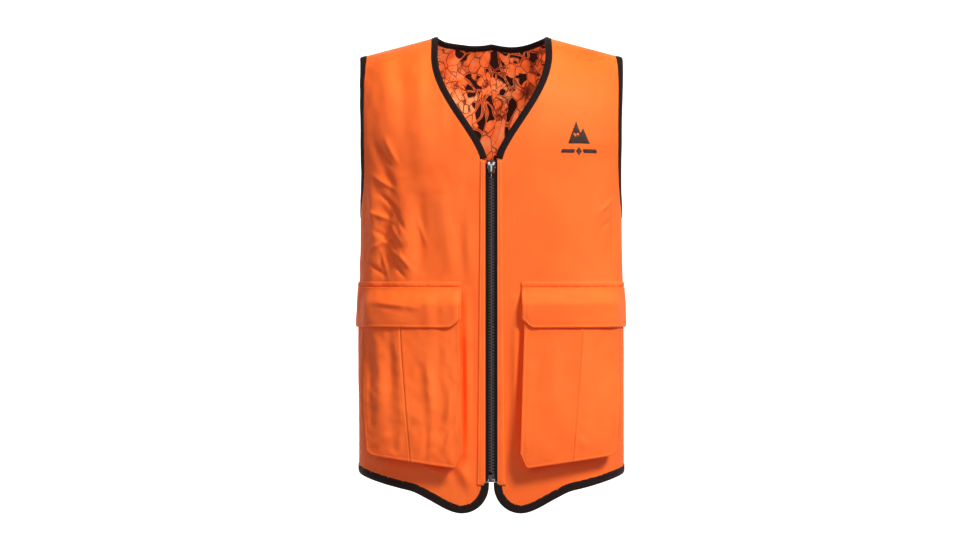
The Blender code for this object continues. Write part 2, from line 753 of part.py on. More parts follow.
def build_slider():
    """Two plates on a web, with lips towards the tapes and an arch for the pull."""
    inner = TOOTH_THICKNESS / 2 + SLIDER_PLAY
    outer = inner + SLIDER_PLATE
    lip_end = TAPE_THICKNESS / 2 + 2 * LAYER_GAP
    lip_x = SLIDER_HALF_WIDTH - SLIDER_LIP
    web = SLIDER_WEB / 2
    quarter = [(web, inner), (lip_x, inner), (lip_x, lip_end), (SLIDER_HALF_WIDTH, lip_end),
               (SLIDER_HALF_WIDTH, outer)]
    right_back = quarter
    right_front = [(x, -depth) for x, depth in reversed(quarter)]
    left_front = [(-x, -depth) for x, depth in quarter]
    left_back = [(-x, depth) for x, depth in reversed(quarter)]
    section = right_front + right_back + left_back + left_front
    bm = bmesh.new()
    low = SLIDER_FOOT - CARRY_HEIGHT
    verts = [bm.verts.new((x, chain_y(CHAIN_DEPTH + depth), low)) for x, depth in section]
    face = bm.faces.new(verts)
    made = bmesh.ops.extrude_face_region(bm, geom=[face])
    moved = [item for item in made["geom"] if isinstance(item, bmesh.types.BMVert)]
    bmesh.ops.translate(bm, verts=moved, vec=(0, 0, SLIDER_HEIGHT))
    body = place_mesh("slider_body", bm, "slider", "slider")
    shoulder = SLIDER_TOP - SLIDER_HEIGHT * 0.3
    shield = [(-SLIDER_HALF_FOOT, SLIDER_FOOT - 0.001), (SLIDER_HALF_FOOT, SLIDER_FOOT - 0.001),
              (SLIDER_HALF_WIDTH + 0.0005, shoulder), (SLIDER_HALF_WIDTH - 0.0008, SLIDER_TOP),
              (0.0016, SLIDER_TOP - 0.0012), (-0.0016, SLIDER_TOP - 0.0012),
              (-SLIDER_HALF_WIDTH + 0.0008, SLIDER_TOP), (-SLIDER_HALF_WIDTH - 0.0005, shoulder)]
    trim = prism("slider_outline_guide", shield, chain_y(CHAIN_DEPTH - 2 * outer),
                 chain_y(CHAIN_DEPTH + 2 * outer), "slider", "slider")
    cut_with(body, trim, "INTERSECT")
    arch = arch_guide(outer)
    cut_with(body, arch, "UNION")
    return outer


def pull_axis(plate_depth):
    """Depth and height of the pull's hinge, under the slider's arch."""
    depth = CHAIN_DEPTH + plate_depth + RUNNING_GAP * 2 + PULL_THICKNESS / 2 + 0.0003
    return depth, SLIDER_FOOT + SLIDER_HEIGHT * 0.5


def arch_guide(plate_depth):
    """The arch on the slider's lining side, as a bridge outline in y and z."""
    depth, height = pull_axis(plate_depth)
    base = chain_y(CHAIN_DEPTH + plate_depth - SLIDER_PLATE / 2)
    top_inner = chain_y(depth + PULL_THICKNESS / 2 + RUNNING_GAP * 1.5)
    top_outer = top_inner + ARCH_WALL
    middle = height - CARRY_HEIGHT
    inner_span = ARCH_HALF_SPAN - ARCH_WALL
    outline = [(base, -ARCH_HALF_SPAN), (top_outer - 0.0006, -ARCH_HALF_SPAN),
               (top_outer, -ARCH_HALF_SPAN + 0.0009), (top_outer, ARCH_HALF_SPAN - 0.0009),
               (top_outer - 0.0006, ARCH_HALF_SPAN), (base, ARCH_HALF_SPAN),
               (base, inner_span), (top_inner, inner_span), (top_inner, -inner_span),
               (base, -inner_span)]
    bm = bmesh.new()
    verts = [bm.verts.new((-ARCH_WIDTH / 2, y, middle + z)) for y, z in outline]
    face = bm.faces.new(verts)
    made = bmesh.ops.extrude_face_region(bm, geom=[face])
    moved = [item for item in made["geom"] if isinstance(item, bmesh.types.BMVert)]
    bmesh.ops.translate(bm, verts=moved, vec=(ARCH_WIDTH, 0, 0))
    return place_mesh("slider_arch_guide", bm, "slider", "slider")


def build_pull(plate_depth):
    """A flat tab whose eye is threaded on the arch; it hangs on the lining side."""
    depth, height = pull_axis(plate_depth)
    half = PULL_THICKNESS / 2
    top = height + half
    foot = top - PULL_LENGTH
    eye_foot = height - 2 * ARCH_HALF_SPAN - 0.0012
    eye_half = ARCH_WIDTH / 2 + RUNNING_GAP * 2
    wide = PULL_WIDTH / 2
    outline = [(-wide + 0.001, foot), (wide - 0.001, foot), (wide, foot + 0.001),
               (wide, top), (-wide, top), (-wide, foot + 0.001)]
    eye = [(-eye_half, eye_foot), (eye_half, eye_foot), (eye_half, height - half),
           (-eye_half, height - half)]
    tab = prism("pull_tab", outline, chain_y(depth - half), chain_y(depth + half), "slider", "pull")
    hole = prism("pull_eye_guide", eye, chain_y(depth - 2 * half), chain_y(depth + 2 * half),
                 "slider", "pull")
    cut_with(tab, hole, "DIFFERENCE")


# ---------------------------------------------------------------- pockets
def pocket_depth(share):
    """How far the pocket's face stands off the shell, from foot (0) to mouth (1)."""
    return mix(FOOT_DEPTH, MOUTH_DEPTH, smooth(share))


def pocket_foot_height(across):
    """Height of the pocket's lower edge from its inner (0) to its outer (1) side."""
    inner = clamp(1 - across / POCKET_CHAMFER_SHARE) * POCKET_CHAMFER
    outer = clamp((across - 0.94) / 0.06) * POCKET_CORNER
    return POCKET_FOOT + POCKET_FOOT_RISE * across + inner + outer


def pocket_angle(across, height):
    """Angle round the body of a place on the pocket."""
    share = (height - POCKET_FOOT) / (POCKET_MOUTH - POCKET_FOOT)
    inner_x = mix(POCKET_INNER_FOOT, POCKET_INNER_TOP, share)
    inner = FRONT.locate(inner_x, height)[0]
    outer = math.radians(mix(POCKET_OUTER_FOOT, POCKET_OUTER_TOP, clamp(share)))
    return mix(inner, outer, across)


def pocket_point(across, height, inward=0.0):
    """A point on the pocket's outer face, or a distance behind it."""
    share = (height - POCKET_FOOT) / (POCKET_MOUTH - POCKET_FOOT)
    return FRONT.at((pocket_angle(across, height), height), inward - pocket_depth(share))


def seam_share():
    """Share of the pocket's width at which its centre seam lies."""
    middle = (POCKET_FOOT + POCKET_MOUTH) / 2
    target = FRONT.locate(POCKET_SEAM, middle)[0]
    inner, outer = pocket_angle(0, middle), pocket_angle(1, middle)
    return (target - inner) / (outer - inner)


def pocket_slab(name, across_range, columns, height_of, rows, inward, finish, joint, side):
    """A piece of the pocket's face; height_of gives the height at a column and a row share."""
    outer, inner = [], []
    for row in range(rows + 1):
        line_out, line_in = [], []
        for column in range(columns + 1):
            across = mix(across_range[0], across_range[1], column / columns)
            height = height_of(across, row / rows)
            line_out.append(pocket_point(across, height, inward[0]))
            line_in.append(pocket_point(across, height, inward[1]))
        outer.append(line_out)
        inner.append(line_in)
    slab(name, outer, inner, finish, joint, side)


def pocket_outline(steps=8):
    """(across, height) down the inner edge, along the foot and up the outer edge."""
    low_inner = pocket_foot_height(0.0)
    low_outer = pocket_foot_height(1.0)
    top = POCKET_MOUTH
    places = [(0.0, mix(top, low_inner, step / steps)) for step in range(steps + 1)]
    places.append((POCKET_CHAMFER_SHARE, pocket_foot_height(POCKET_CHAMFER_SHARE)))
    for step in range(1, steps):
        across = mix(POCKET_CHAMFER_SHARE, 0.94, step / steps)
        places.append((across, pocket_foot_height(across)))
    places.append((0.94, pocket_foot_height(0.94)))
    places += [(1.0, mix(low_outer, top, step / steps)) for step in range(steps + 1)]
    return places


def build_gusset(word, side):
    """The bellows: one strip that stands on the shell round three sides of the pocket."""
    outer, inner = [], []
    inset_share = SHELL_THICKNESS / 0.19
    for across, height in pocket_outline():
        share = (height - POCKET_FOOT) / (POCKET_MOUTH - POCKET_FOOT)
        proud = pocket_depth(share) - SHELL_THICKNESS - LAYER_GAP
        narrowed = mix(inset_share, 1 - inset_share, across)
        lifted = height + SHELL_THICKNESS * (1 if pocket_foot_height(across) + 1e-6 > height
                                             or across not in (0.0, 1.0) else 0)
        for target, place_across, place_height in ((outer, across, height),
                                                   (inner, narrowed, lifted)):
            place = (pocket_angle(place_across, place_height), place_height)
            target.append([FRONT.at(place, -ADD_ON_GAP), FRONT.at(place, -mix(ADD_ON_GAP, proud, 0.5)),
                           FRONT.at(place, -proud)])
    slab("pocket_gusset_" + word, outer, inner, "shell", "front_" + word, side)


def build_pocket(word, side):
    joint = "front_" + word
    seam = seam_share()
    gap_share = SEAM_GAP / 0.19 / 2
    hem_foot = POCKET_MOUTH - MOUTH_HEM_WIDTH

    def face_height(across, share):
        return mix(pocket_foot_height(across), hem_foot - SEAM_GAP, share)

    def hem_height(across, share):
        return mix(hem_foot, POCKET_MOUTH, share)

    cloth = (0.0, SHELL_THICKNESS)
    pocket_slab("pocket_panel_inner_" + word, (0.0, seam - gap_share), 6, face_height, 6, cloth,
                "shell", joint, side)
    pocket_slab("pocket_panel_outer_" + word, (seam + gap_share, 1.0), 7, face_height, 6, cloth,
                "shell", joint, side)
    pocket_slab("pocket_mouth_hem_" + word, (0.0, 1.0), 12, hem_height, 1, cloth,
                "shell", joint, side)
    build_gusset(word, side)
    middle = (hem_foot + POCKET_MOUTH) / 2
    half_share = FASTENER_HALF_WIDTH / 0.19

    def loop_height(across, share):
        return middle + mix(-0.5, 0.5, share) * FASTENER_HEIGHT

    loop = (-LAYER_GAP - FASTENER_THICKNESS, -LAYER_GAP)
    pocket_slab("loop_tape_" + word, (seam - half_share, seam + half_share), 5, loop_height, 1,
                loop, "fastener", joint, side)


def flap_stand_off(angle, share):
    """Gap from the shell to the flap's inner face, from its top (0) to its foot (1)."""
    clear = MOUTH_DEPTH + 2 * FASTENER_THICKNESS + 2 * LAYER_GAP + ADD_ON_GAP
    fade = 1 - smooth((math.degrees(angle) - POCKET_OUTER_TOP - 2) / 10)
    near = ADD_ON_GAP + LAYER_GAP
    lift = smooth(share * 2.4)
    return mix(near, clear, lift * mix(0.12, 1.0, fade))


def flap_foot_height(x):
    """Height of the flap's lower edge, chamfered at its inner end."""
    share = clamp((x - FLAP_INNER) / FLAP_CHAMFER_WIDTH)
    return FLAP_FOOT + FLAP_CHAMFER * (1 - share)


def flap_places(columns=14, rows=5):
    """Grid of the flap from its top edge down."""
    start = FRONT.locate(FLAP_INNER, FLAP_TOP)[0]
    end = math.radians(FLAP_OUTER)
    angles = [start, FRONT.locate(FLAP_INNER + FLAP_CHAMFER_WIDTH, FLAP_TOP)[0]]
    angles += [mix(angles[1], end, step / (columns - 1)) for step in range(1, columns)]
    grid = []
    for row in range(rows + 1):
        line = []
        for angle in angles:
            x = FRONT.section(angle, FLAP_TOP)[0]
            height = mix(FLAP_TOP - SEAM_GAP, flap_foot_height(x), row / rows)
            line.append((angle, height, row / rows))
        grid.append(line)
    return grid


def flap_hinge():
    """A point on the flap's hinge and the hinge's direction, for the +X side.

    The hinge lies level, parallel to the chord of the flap's top edge, and touches the
    most outward point of that edge, so both ends swing clear of the body.
    """
    top = [FRONT.at((angle, height), -flap_stand_off(angle, share) - FLAP_THICKNESS)
           for angle, height, share in flap_places()[0]]
    chord = top[-1] - top[0]
    along = Vector((chord.x, chord.y, 0)).normalized()
    out = Vector((along.y, -along.x, 0))
    reach = max((point - top[0]).dot(out) for point in top)
    place = top[0] + out * reach + along * (chord.length / 2)
    place.z = FLAP_TOP - CARRY_HEIGHT
    return place, along


def build_flap(word, side):
    joint = "flap_" + word
    grid = flap_places()
    outer = [[FRONT.at((a, h), -flap_stand_off(a, s) - FLAP_THICKNESS) for a, h, s in row]
             for row in grid]
    inner = [[FRONT.at((a, h), -flap_stand_off(a, s)) for a, h, s in row] for row in grid]
    slab("pocket_flap_" + word, outer, inner, "shell", joint, side)
    middle = POCKET_MOUTH - MOUTH_HEM_WIDTH / 2
    seam = seam_share()
    half_share = FASTENER_HALF_WIDTH / 0.19
    hook_outer, hook_inner = [], []
    near = MOUTH_DEPTH + FASTENER_THICKNESS + 2 * LAYER_GAP
    for row in range(2):
        height = middle + (row - 0.5) * FASTENER_HEIGHT
        line_out, line_in = [], []
        for column in range(6):
            across = seam + mix(-half_share, half_share, column / 5)
            place = (pocket_angle(across, height), height)
            line_out.append(FRONT.at(place, -near - FASTENER_THICKNESS))
            line_in.append(FRONT.at(place, -near))
        hook_outer.append(line_out)
        hook_inner.append(line_in)
    slab("hook_tape_" + word, hook_outer, hook_inner, "fastener", joint, side)
    start = FRONT.locate(FLAP_INNER, FLAP_TOP)[0]
    end = math.radians(FLAP_OUTER)
    rows = []
    for height in (FLAP_TOP, FLAP_TOP + WELT_HEIGHT):
        rows.append([(mix(start, end, step / 14), height) for step in range(15)])
    skin_slab("flap_welt_" + word, FRONT, rows, (-ADD_ON_GAP - SHELL_THICKNESS, -ADD_ON_GAP),
              "shell", "front_" + word, side)


def build_emblem():
    """Two stitched peaks on a base line."""
    columns = 12
    outer, inner = [], []
    for column in range(columns + 1):
        share = column / columns
        x = EMBLEM_X + mix(-EMBLEM_HALF_WIDTH, EMBLEM_HALF_WIDTH, share)
        tall = 1 - abs(share - 0.36) / 0.36
        small = 0.66 - abs(share - 0.74) / 0.36
        top = EMBLEM_RISE * max(tall, small, 0.0) + 0.003
        line_out, line_in = [], []
        for height in (EMBLEM_HEIGHT, EMBLEM_HEIGHT + top):
            place = FRONT.locate(x, height)
            line_out.append(FRONT.at(place, -ADD_ON_GAP - EMBLEM_THICKNESS))
            line_in.append(FRONT.at(place, -ADD_ON_GAP))
        outer.append(line_out)
        inner.append(line_in)
    slab("chest_emblem", outer, inner, "emblem", "front_left")


# ---------------------------------------------------------------- assembly
def build_joints():
    """Empties on the joint axes; the fronts carry the flaps, the right front the slider."""
    plate_depth = TOOTH_THICKNESS / 2 + SLIDER_PLAY + SLIDER_PLATE
    depth, height = pull_axis(plate_depth)
    hinge, _ = flap_hinge()
    middle = UNDERARM_HEIGHT / 2 - CARRY_HEIGHT
    for word, side in (("left", 1), ("right", -1)):
        joint_empty("front_" + word, Vector((SIDE_AXIS_X * side, 0, middle)))
        joint_empty("flap_" + word, Vector((hinge.x * side, hinge.y, hinge.z)))
    joint_empty("slider", Vector((0, chain_y(CHAIN_DEPTH), SLIDER_FOOT - CARRY_HEIGHT)))
    joint_empty("pull", Vector((0, chain_y(depth), height - CARRY_HEIGHT)))


def build_vest():
    clear_scene()
    build_joints()
    build_back()
    for word, side in (("left", 1), ("right", -1)):
        build_front(word, side)
        build_teeth(word, side)
        build_tape(word, side)
        build_top_stop(word, side)
        build_pocket(word, side)
        build_flap(word, side)
    build_zip_foot()
    build_emblem()
    plate_depth = build_slider()
    build_pull(plate_depth)


build_vest()
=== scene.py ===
# %% [markdown]
# # A blaze orange hunting vest
#
# A vest is cut from flat cloth, sewn edge to edge, bound with folded tape and closed by a separating zip.
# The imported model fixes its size, pieces and joints. This lesson makes the looks: folded cloth over the
# same shape, stitch by stitch, with a finish for every piece. Lengths are metres, +Z is up, and the
# wearer faces -Y with the left side at +X.

# %% Load the frame
import json
import math

import bmesh
import bpy
import numpy as np
from mathutils import Matrix, Vector
from mathutils.geometry import delaunay_2d_cdt

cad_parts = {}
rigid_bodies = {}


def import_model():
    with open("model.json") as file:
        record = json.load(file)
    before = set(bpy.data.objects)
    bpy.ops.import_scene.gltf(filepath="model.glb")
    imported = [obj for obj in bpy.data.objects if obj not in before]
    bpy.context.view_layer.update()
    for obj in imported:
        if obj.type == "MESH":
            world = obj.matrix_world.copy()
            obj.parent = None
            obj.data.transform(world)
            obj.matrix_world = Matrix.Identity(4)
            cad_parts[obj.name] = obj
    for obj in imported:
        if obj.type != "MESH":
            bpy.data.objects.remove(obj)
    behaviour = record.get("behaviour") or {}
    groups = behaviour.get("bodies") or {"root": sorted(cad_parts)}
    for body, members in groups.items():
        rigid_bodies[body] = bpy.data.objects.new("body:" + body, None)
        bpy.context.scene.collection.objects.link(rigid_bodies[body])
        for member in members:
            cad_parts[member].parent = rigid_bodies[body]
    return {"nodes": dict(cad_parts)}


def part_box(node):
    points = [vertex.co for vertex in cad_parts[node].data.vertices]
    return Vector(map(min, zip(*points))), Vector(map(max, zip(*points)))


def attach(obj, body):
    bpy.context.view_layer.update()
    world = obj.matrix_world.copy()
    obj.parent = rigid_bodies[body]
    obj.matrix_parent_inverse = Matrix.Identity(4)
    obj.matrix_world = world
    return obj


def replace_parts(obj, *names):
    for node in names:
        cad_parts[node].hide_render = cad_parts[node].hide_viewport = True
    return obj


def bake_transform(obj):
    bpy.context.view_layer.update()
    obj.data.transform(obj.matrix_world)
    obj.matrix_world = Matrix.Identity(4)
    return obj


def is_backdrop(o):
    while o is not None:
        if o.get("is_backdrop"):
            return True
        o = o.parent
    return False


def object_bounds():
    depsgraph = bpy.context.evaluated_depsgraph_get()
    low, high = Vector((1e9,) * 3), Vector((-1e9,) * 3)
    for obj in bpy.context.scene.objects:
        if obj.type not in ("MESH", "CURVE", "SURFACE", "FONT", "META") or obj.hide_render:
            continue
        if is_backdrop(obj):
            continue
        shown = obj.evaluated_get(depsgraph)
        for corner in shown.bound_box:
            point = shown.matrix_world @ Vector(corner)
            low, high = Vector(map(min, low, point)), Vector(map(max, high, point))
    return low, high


for item in list(bpy.data.objects):
    bpy.data.objects.remove(item, do_unlink=True)
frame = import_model()
cad_low, cad_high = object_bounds()

# %% [markdown]
# ## Camera, light and backdrop
#
# The vest is seen from a few metres away through a long lens, so that its near and far edges have
# almost the same scale. The camera looks straight at the middle of the vest. The backdrop is a wide
# bowl: a pale floor that curves up into a wall, which leaves no line behind the object from any side.
# One large light stands at the viewer's right, so that it grazes the folds on the other half.

# %% Camera
LENS = 85
CAMERA_DISTANCE = 3.56
CAMERA_SIDE = -0.0035
CAMERA_HEIGHT = -0.3665

scene = bpy.context.scene
lens = bpy.data.cameras.new("studio_camera")
lens.lens = LENS
lens.clip_end = 50
camera = bpy.data.objects.new("studio_camera", lens)
camera.location = (CAMERA_SIDE, -CAMERA_DISTANCE, CAMERA_HEIGHT)
camera.rotation_euler = (math.radians(90), 0, 0)
scene.collection.objects.link(camera)
scene.camera = camera
scene.view_settings.view_transform = "Standard"
scene.view_settings.look = "Medium High Contrast"
print("camera", round(CAMERA_DISTANCE, 2), "m in front of the side seams")


# %% Backdrop
def select_only(piece):
    """Leave one object selected and active, so that an operator acts on it alone."""
    bpy.ops.object.select_all(action="DESELECT")
    piece.select_set(True)
    bpy.context.view_layer.objects.active = piece


FLOOR_HEIGHT = -1.45
BOWL_RADIUS = 8.0
COVE_RADIUS = 2.0
WALL_HEIGHT = 7.0


def bowl_profile():
    """Floor, cove and wall as (radius, height) points."""
    points = [(0.0, 0.0), (BOWL_RADIUS - COVE_RADIUS, 0.0)]
    for step in range(1, 13):
        turn = math.radians(90) * step / 12
        points.append((BOWL_RADIUS - COVE_RADIUS + COVE_RADIUS * math.sin(turn),
                       COVE_RADIUS * (1 - math.cos(turn))))
    points.append((BOWL_RADIUS, WALL_HEIGHT))
    return points


bpy.ops.object.select_all(action="DESELECT")
bpy.ops.mesh.primitive_plane_add(size=1, location=(0, 0, 0))
backdrop = bpy.context.object
backdrop.name = "backdrop"
shape = bmesh.new()
line = [shape.verts.new((radius, 0, FLOOR_HEIGHT + rise)) for radius, rise in bowl_profile()]
for first, second in zip(line, line[1:]):
    shape.edges.new((first, second))
shape.to_mesh(backdrop.data)
shape.free()
select_only(backdrop)
bpy.ops.object.mode_set(mode="EDIT")
bpy.ops.mesh.select_all(action="SELECT")
bpy.ops.mesh.spin(steps=64, angle=2 * math.pi, center=(0, 0, 0), axis=(0, 0, 1))
bpy.ops.mesh.remove_doubles(threshold=0.0001)
bpy.ops.mesh.normals_make_consistent(inside=True)
bpy.ops.object.mode_set(mode="OBJECT")
bpy.ops.object.shade_smooth()
backdrop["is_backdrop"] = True
print("the bowl is", 2 * BOWL_RADIUS, "m across")


# %% Paper-white backdrop and the lights
def new_material(name, colour, roughness, metallic=0.0, specular=0.5):
    """A Principled material; uniform values go straight on the shader's own sockets."""
    made = bpy.data.materials.new(name)
    made.use_nodes = True
    shader = made.node_tree.nodes["Principled BSDF"]
    shader.inputs["Base Color"].default_value = (*colour, 1)
    shader.inputs["Roughness"].default_value = roughness
    shader.inputs["Metallic"].default_value = metallic
    shader.inputs["Specular IOR Level"].default_value = specular
    return made


paper = new_material("paper_white", (0.9, 0.9, 0.9), 1.0, specular=0.0)
paper.node_tree.nodes["Principled BSDF"].inputs["Emission Color"].default_value = (1, 1, 1, 1)
paper.node_tree.nodes["Principled BSDF"].inputs["Emission Strength"].default_value = 0.95
backdrop.data.materials.append(paper)
backdrop.visible_diffuse = False

world = bpy.data.worlds.new("studio_air")
world.use_nodes = True
world.node_tree.nodes["Background"].inputs["Color"].default_value = (1, 0.62, 0.42, 1)
world.node_tree.nodes["Background"].inputs["Strength"].default_value = 0.16
scene.world = world


def area_light(name, place, target, size, power):
    """A square softbox that faces its target."""
    data = bpy.data.lights.new(name, "AREA")
    data.size = size
    data.energy = power
    light = bpy.data.objects.new(name, data)
    light.location = place
    towards = Vector(target) - Vector(place)
    light.rotation_euler = towards.to_track_quat("-Z", "Y").to_euler()
    scene.collection.objects.link(light)
    return light


MIDDLE = (0, 0, -0.36)
area_light("key_light", (1.9, -2.4, 2.1), MIDDLE, 0.9, 134)
area_light("fill_light", (-0.9, -3.6, 0.7), MIDDLE, 1.2, 14)
area_light("top_light", (0.2, -0.4, 2.2), MIDDLE, 1.2, 16)
area_light("back_light", (-0.6, 3.2, 1.0), MIDDLE, 2.0, 25)
print("four softboxes round", MIDDLE)

# %% [markdown]
# ## The body shape
#
# The cloth needs a shape to lie on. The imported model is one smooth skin: level sections that are rounded
# rectangles (superellipses) and turn over the shoulders near the top. The same rule is written here with
# arrays. A place on the skin is a pair (u, v): metres round the body from the centre line, and metres of
# rise. That pair is also the flat cloth, so seams, stitches and weave can all be measured in it.

# %% Sizes of the vest
back_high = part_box("back_shell")[1]
HEIGHT = -cad_low.z
SEAM_GAP = 0.0004
BODY_DEPTH = back_high.y - SEAM_GAP / 2
HIP_HALF_WIDTH = back_high.x
CHEST_HALF_WIDTH = 0.2005
SHOULDER_HALF_WIDTH = 0.2025
SHOULDER_DROP = 0.032
NECK_HALF_WIDTH = 0.082
NECK_DROP = 0.192
NECK_BEND = 0.85
NECK_FULLNESS = 1.4
BACK_NECK_DROP = 0.004
ARMHOLE_HEIGHT = 0.238
ARMHOLE_REACH = 0.066
ARMHOLE_HALF_WIDTH = 0.198
ARMHOLE_BOW = 0.118
HIP_HEIGHT = 0.25
HIP_ROUNDNESS = 3.2
CHEST_ROUNDNESS = 2.8
FRONT, BACK = -1, 1
ROLL_DROP = {FRONT: 0.18, BACK: 0.16}

UNDERARM = HEIGHT - SHOULDER_DROP - ARMHOLE_HEIGHT
SHOULDER_TIP = HEIGHT - SHOULDER_DROP
V_FOOT = HEIGHT - NECK_DROP
QUARTER = math.pi / 2
ROLL = {face: HEIGHT - drop for face, drop in ROLL_DROP.items()}
TOP = {face: ROLL[face] + 1.3 * ROLL_DROP[face] for face in ROLL}
print("underarm", round(UNDERARM, 3), "foot of the V", round(V_FOOT, 3))


# %% The skin
def ease(value):
    """A smooth step from 0 to 1."""
    share = np.clip(value, 0, 1)
    return share * share * (3 - 2 * share)


def mix(first, second, share):
    return first + (second - first) * share


def eased(height, knots):
    """A value that eases from knot to knot as the height rises."""
    result = np.full_like(height, knots[-1][1])
    for (low, start), (high, end) in reversed(list(zip(knots, knots[1:]))):
        between = start + (end - start) * ease((height - low) / (high - low))
        result = np.where(height <= high, between, result)
    return result


def run_length(points):
    """Distance along a line of points, from the first."""
    return np.concatenate([[0], np.cumsum(np.linalg.norm(np.diff(points, axis=0), axis=1))])


def width_for(edge_x):
    share = (ARMHOLE_REACH / BODY_DEPTH) ** CHEST_ROUNDNESS
    return edge_x / (1 - share) ** (1 / CHEST_ROUNDNESS)


HALF_WIDTHS = [(HIP_HEIGHT, HIP_HALF_WIDTH), (UNDERARM, CHEST_HALF_WIDTH),
               (UNDERARM + ARMHOLE_BOW, width_for(ARMHOLE_HALF_WIDTH)),
               (SHOULDER_TIP, width_for(SHOULDER_HALF_WIDTH))]
ROUNDNESSES = [(HIP_HEIGHT, HIP_ROUNDNESS), (UNDERARM, CHEST_ROUNDNESS)]


def section(angle, height):
    """Distance across and out from the body's axis at an angle round it."""
    power = eased(height, ROUNDNESSES)
    out_share = np.abs(np.cos(angle)) / BODY_DEPTH
    side_share = np.abs(np.sin(angle)) / eased(height, HALF_WIDTHS)
    radius = (out_share ** power + side_share ** power) ** (-1 / power)
    return radius * np.sin(angle), radius * np.cos(angle)


def shoulder_height(across):
    slope = SHOULDER_DROP / (SHOULDER_HALF_WIDTH - NECK_HALF_WIDTH)
    return HEIGHT - (np.abs(across) - NECK_HALF_WIDTH) * slope


GIRTH_ANGLES = np.linspace(0, QUARTER, 400)
girth_points = np.stack(section(GIRTH_ANGLES, np.full(400, 0.4)), -1)
GIRTH = run_length(girth_points)
SIDE_SEAM = GIRTH[-1]
print("quarter of the girth", round(SIDE_SEAM, 4), "m")


def angle_of(u):
    return np.sign(u) * np.interp(np.abs(u), GIRTH, GIRTH_ANGLES)


def bare_skin(face, places):
    """Points of the outer face, without any folds, for an array of (u, v) places."""
    angle, rise = angle_of(places[..., 0]), places[..., 1]
    turn = np.clip((rise - ROLL[face]) / (TOP[face] - ROLL[face]), 0, None) * QUARTER
    height = np.minimum(rise, ROLL[face])
    across, out = section(angle, height)
    for _ in range(6):
        rolled = ROLL[face] + (shoulder_height(across) - ROLL[face]) * np.sin(turn)
        height = np.where(turn > 0, rolled, rise)
        across, out = section(angle, height)
    out = out * np.cos(turn)
    return np.stack([across, face * (out + SEAM_GAP / 2), height - HEIGHT], -1)


def skin_slopes(face, places, step=2e-4):
    """How a skin point moves for a metre of u and for a metre of v."""
    right = bare_skin(face, places + (step, 0)) - bare_skin(face, places - (step, 0))
    up = bare_skin(face, places + (0, step)) - bare_skin(face, places - (0, step))
    return right / (2 * step), up / (2 * step)


def skin_normal(face, places):
    right, up = skin_slopes(face, np.clip(places, [-SIDE_SEAM + 3e-4, -1], [SIDE_SEAM - 3e-4, 9]))
    normal = np.cross(right, up) * -face
    return normal / np.linalg.norm(normal, axis=-1, keepdims=True)


def spot(face, x, height):
    """The (u, v) place of a point with this x and height; arrays or numbers."""
    x, height = np.broadcast_arrays(np.asarray(x, float), np.asarray(height, float))
    share = (height - ROLL[face]) / (shoulder_height(x) - ROLL[face])
    rolled = ROLL[face] + np.arcsin(np.clip(share, 0, 1)) / QUARTER * (TOP[face] - ROLL[face])
    rise = np.where(height > ROLL[face], rolled, height)
    low, high = np.zeros_like(x), np.full_like(x, QUARTER)
    for _ in range(30):
        middle = (low + high) / 2
        inside = section(middle, height)[0] < np.abs(x)
        low, high = np.where(inside, middle, low), np.where(inside, high, middle)
    u = np.interp((low + high) / 2, GIRTH_ANGLES, GIRTH) * np.where(x < 0, -1, 1)
    return np.stack([u, rise], -1)


front_middle = bare_skin(FRONT, spot(FRONT, 0.1, 0.4))
print("a point 0.1 m beside the zip lies at", np.round(front_middle, 4))

# %% [markdown]
# ## Folds
#
# Worn cloth hangs in soft folds from the shoulder, crumples under the arm and puckers along every seam.
# Here the folds are placed where this vest has them. Each is a line with a width and a height,
# and the cloth rises or sinks beside it. The wearer's right front hangs loose and crumpled, while the
# left is pulled smooth. Shell, lining, binding and stitches all follow the same folds.


# %% Soft noise and single folds
def soft_noise(places, cell, seed):
    """Smooth random waves between -1 and 1; cell is their size along u and along v."""
    table = np.random.RandomState(seed).uniform(-1, 1, (64, 64))
    scaled = places / np.asarray(cell) + 400
    corner = np.floor(scaled).astype(int)
    share = ease(scaled - corner)
    near, far = corner % 64, (corner + 1) % 64
    low = mix(table[near[..., 0], near[..., 1]], table[far[..., 0], near[..., 1]], share[..., 0])
    high = mix(table[near[..., 0], far[..., 1]], table[far[..., 0], far[..., 1]], share[..., 0])
    return mix(low, high, share[..., 1])


def fold_line(places, start, end, width, height, sharp=False):
    """One fold from start to end, highest in its middle; a negative height is a valley."""
    start, end = np.asarray(start), np.asarray(end)
    along = end - start
    share = np.clip(((places - start) @ along) / (along @ along), 0, 1)
    bowed = start + share[..., None] * along
    beside = np.cross(along / np.linalg.norm(along), places - bowed)
    beyond = np.linalg.norm(places - bowed, axis=-1)
    distance = np.maximum(np.abs(beside), beyond) / width
    crest = 1 / (1 + distance ** 2) ** 2 if sharp else np.exp(-distance ** 2)
    return height * crest * np.sin(np.clip(share, 0.04, 0.96) * math.pi) ** 0.6


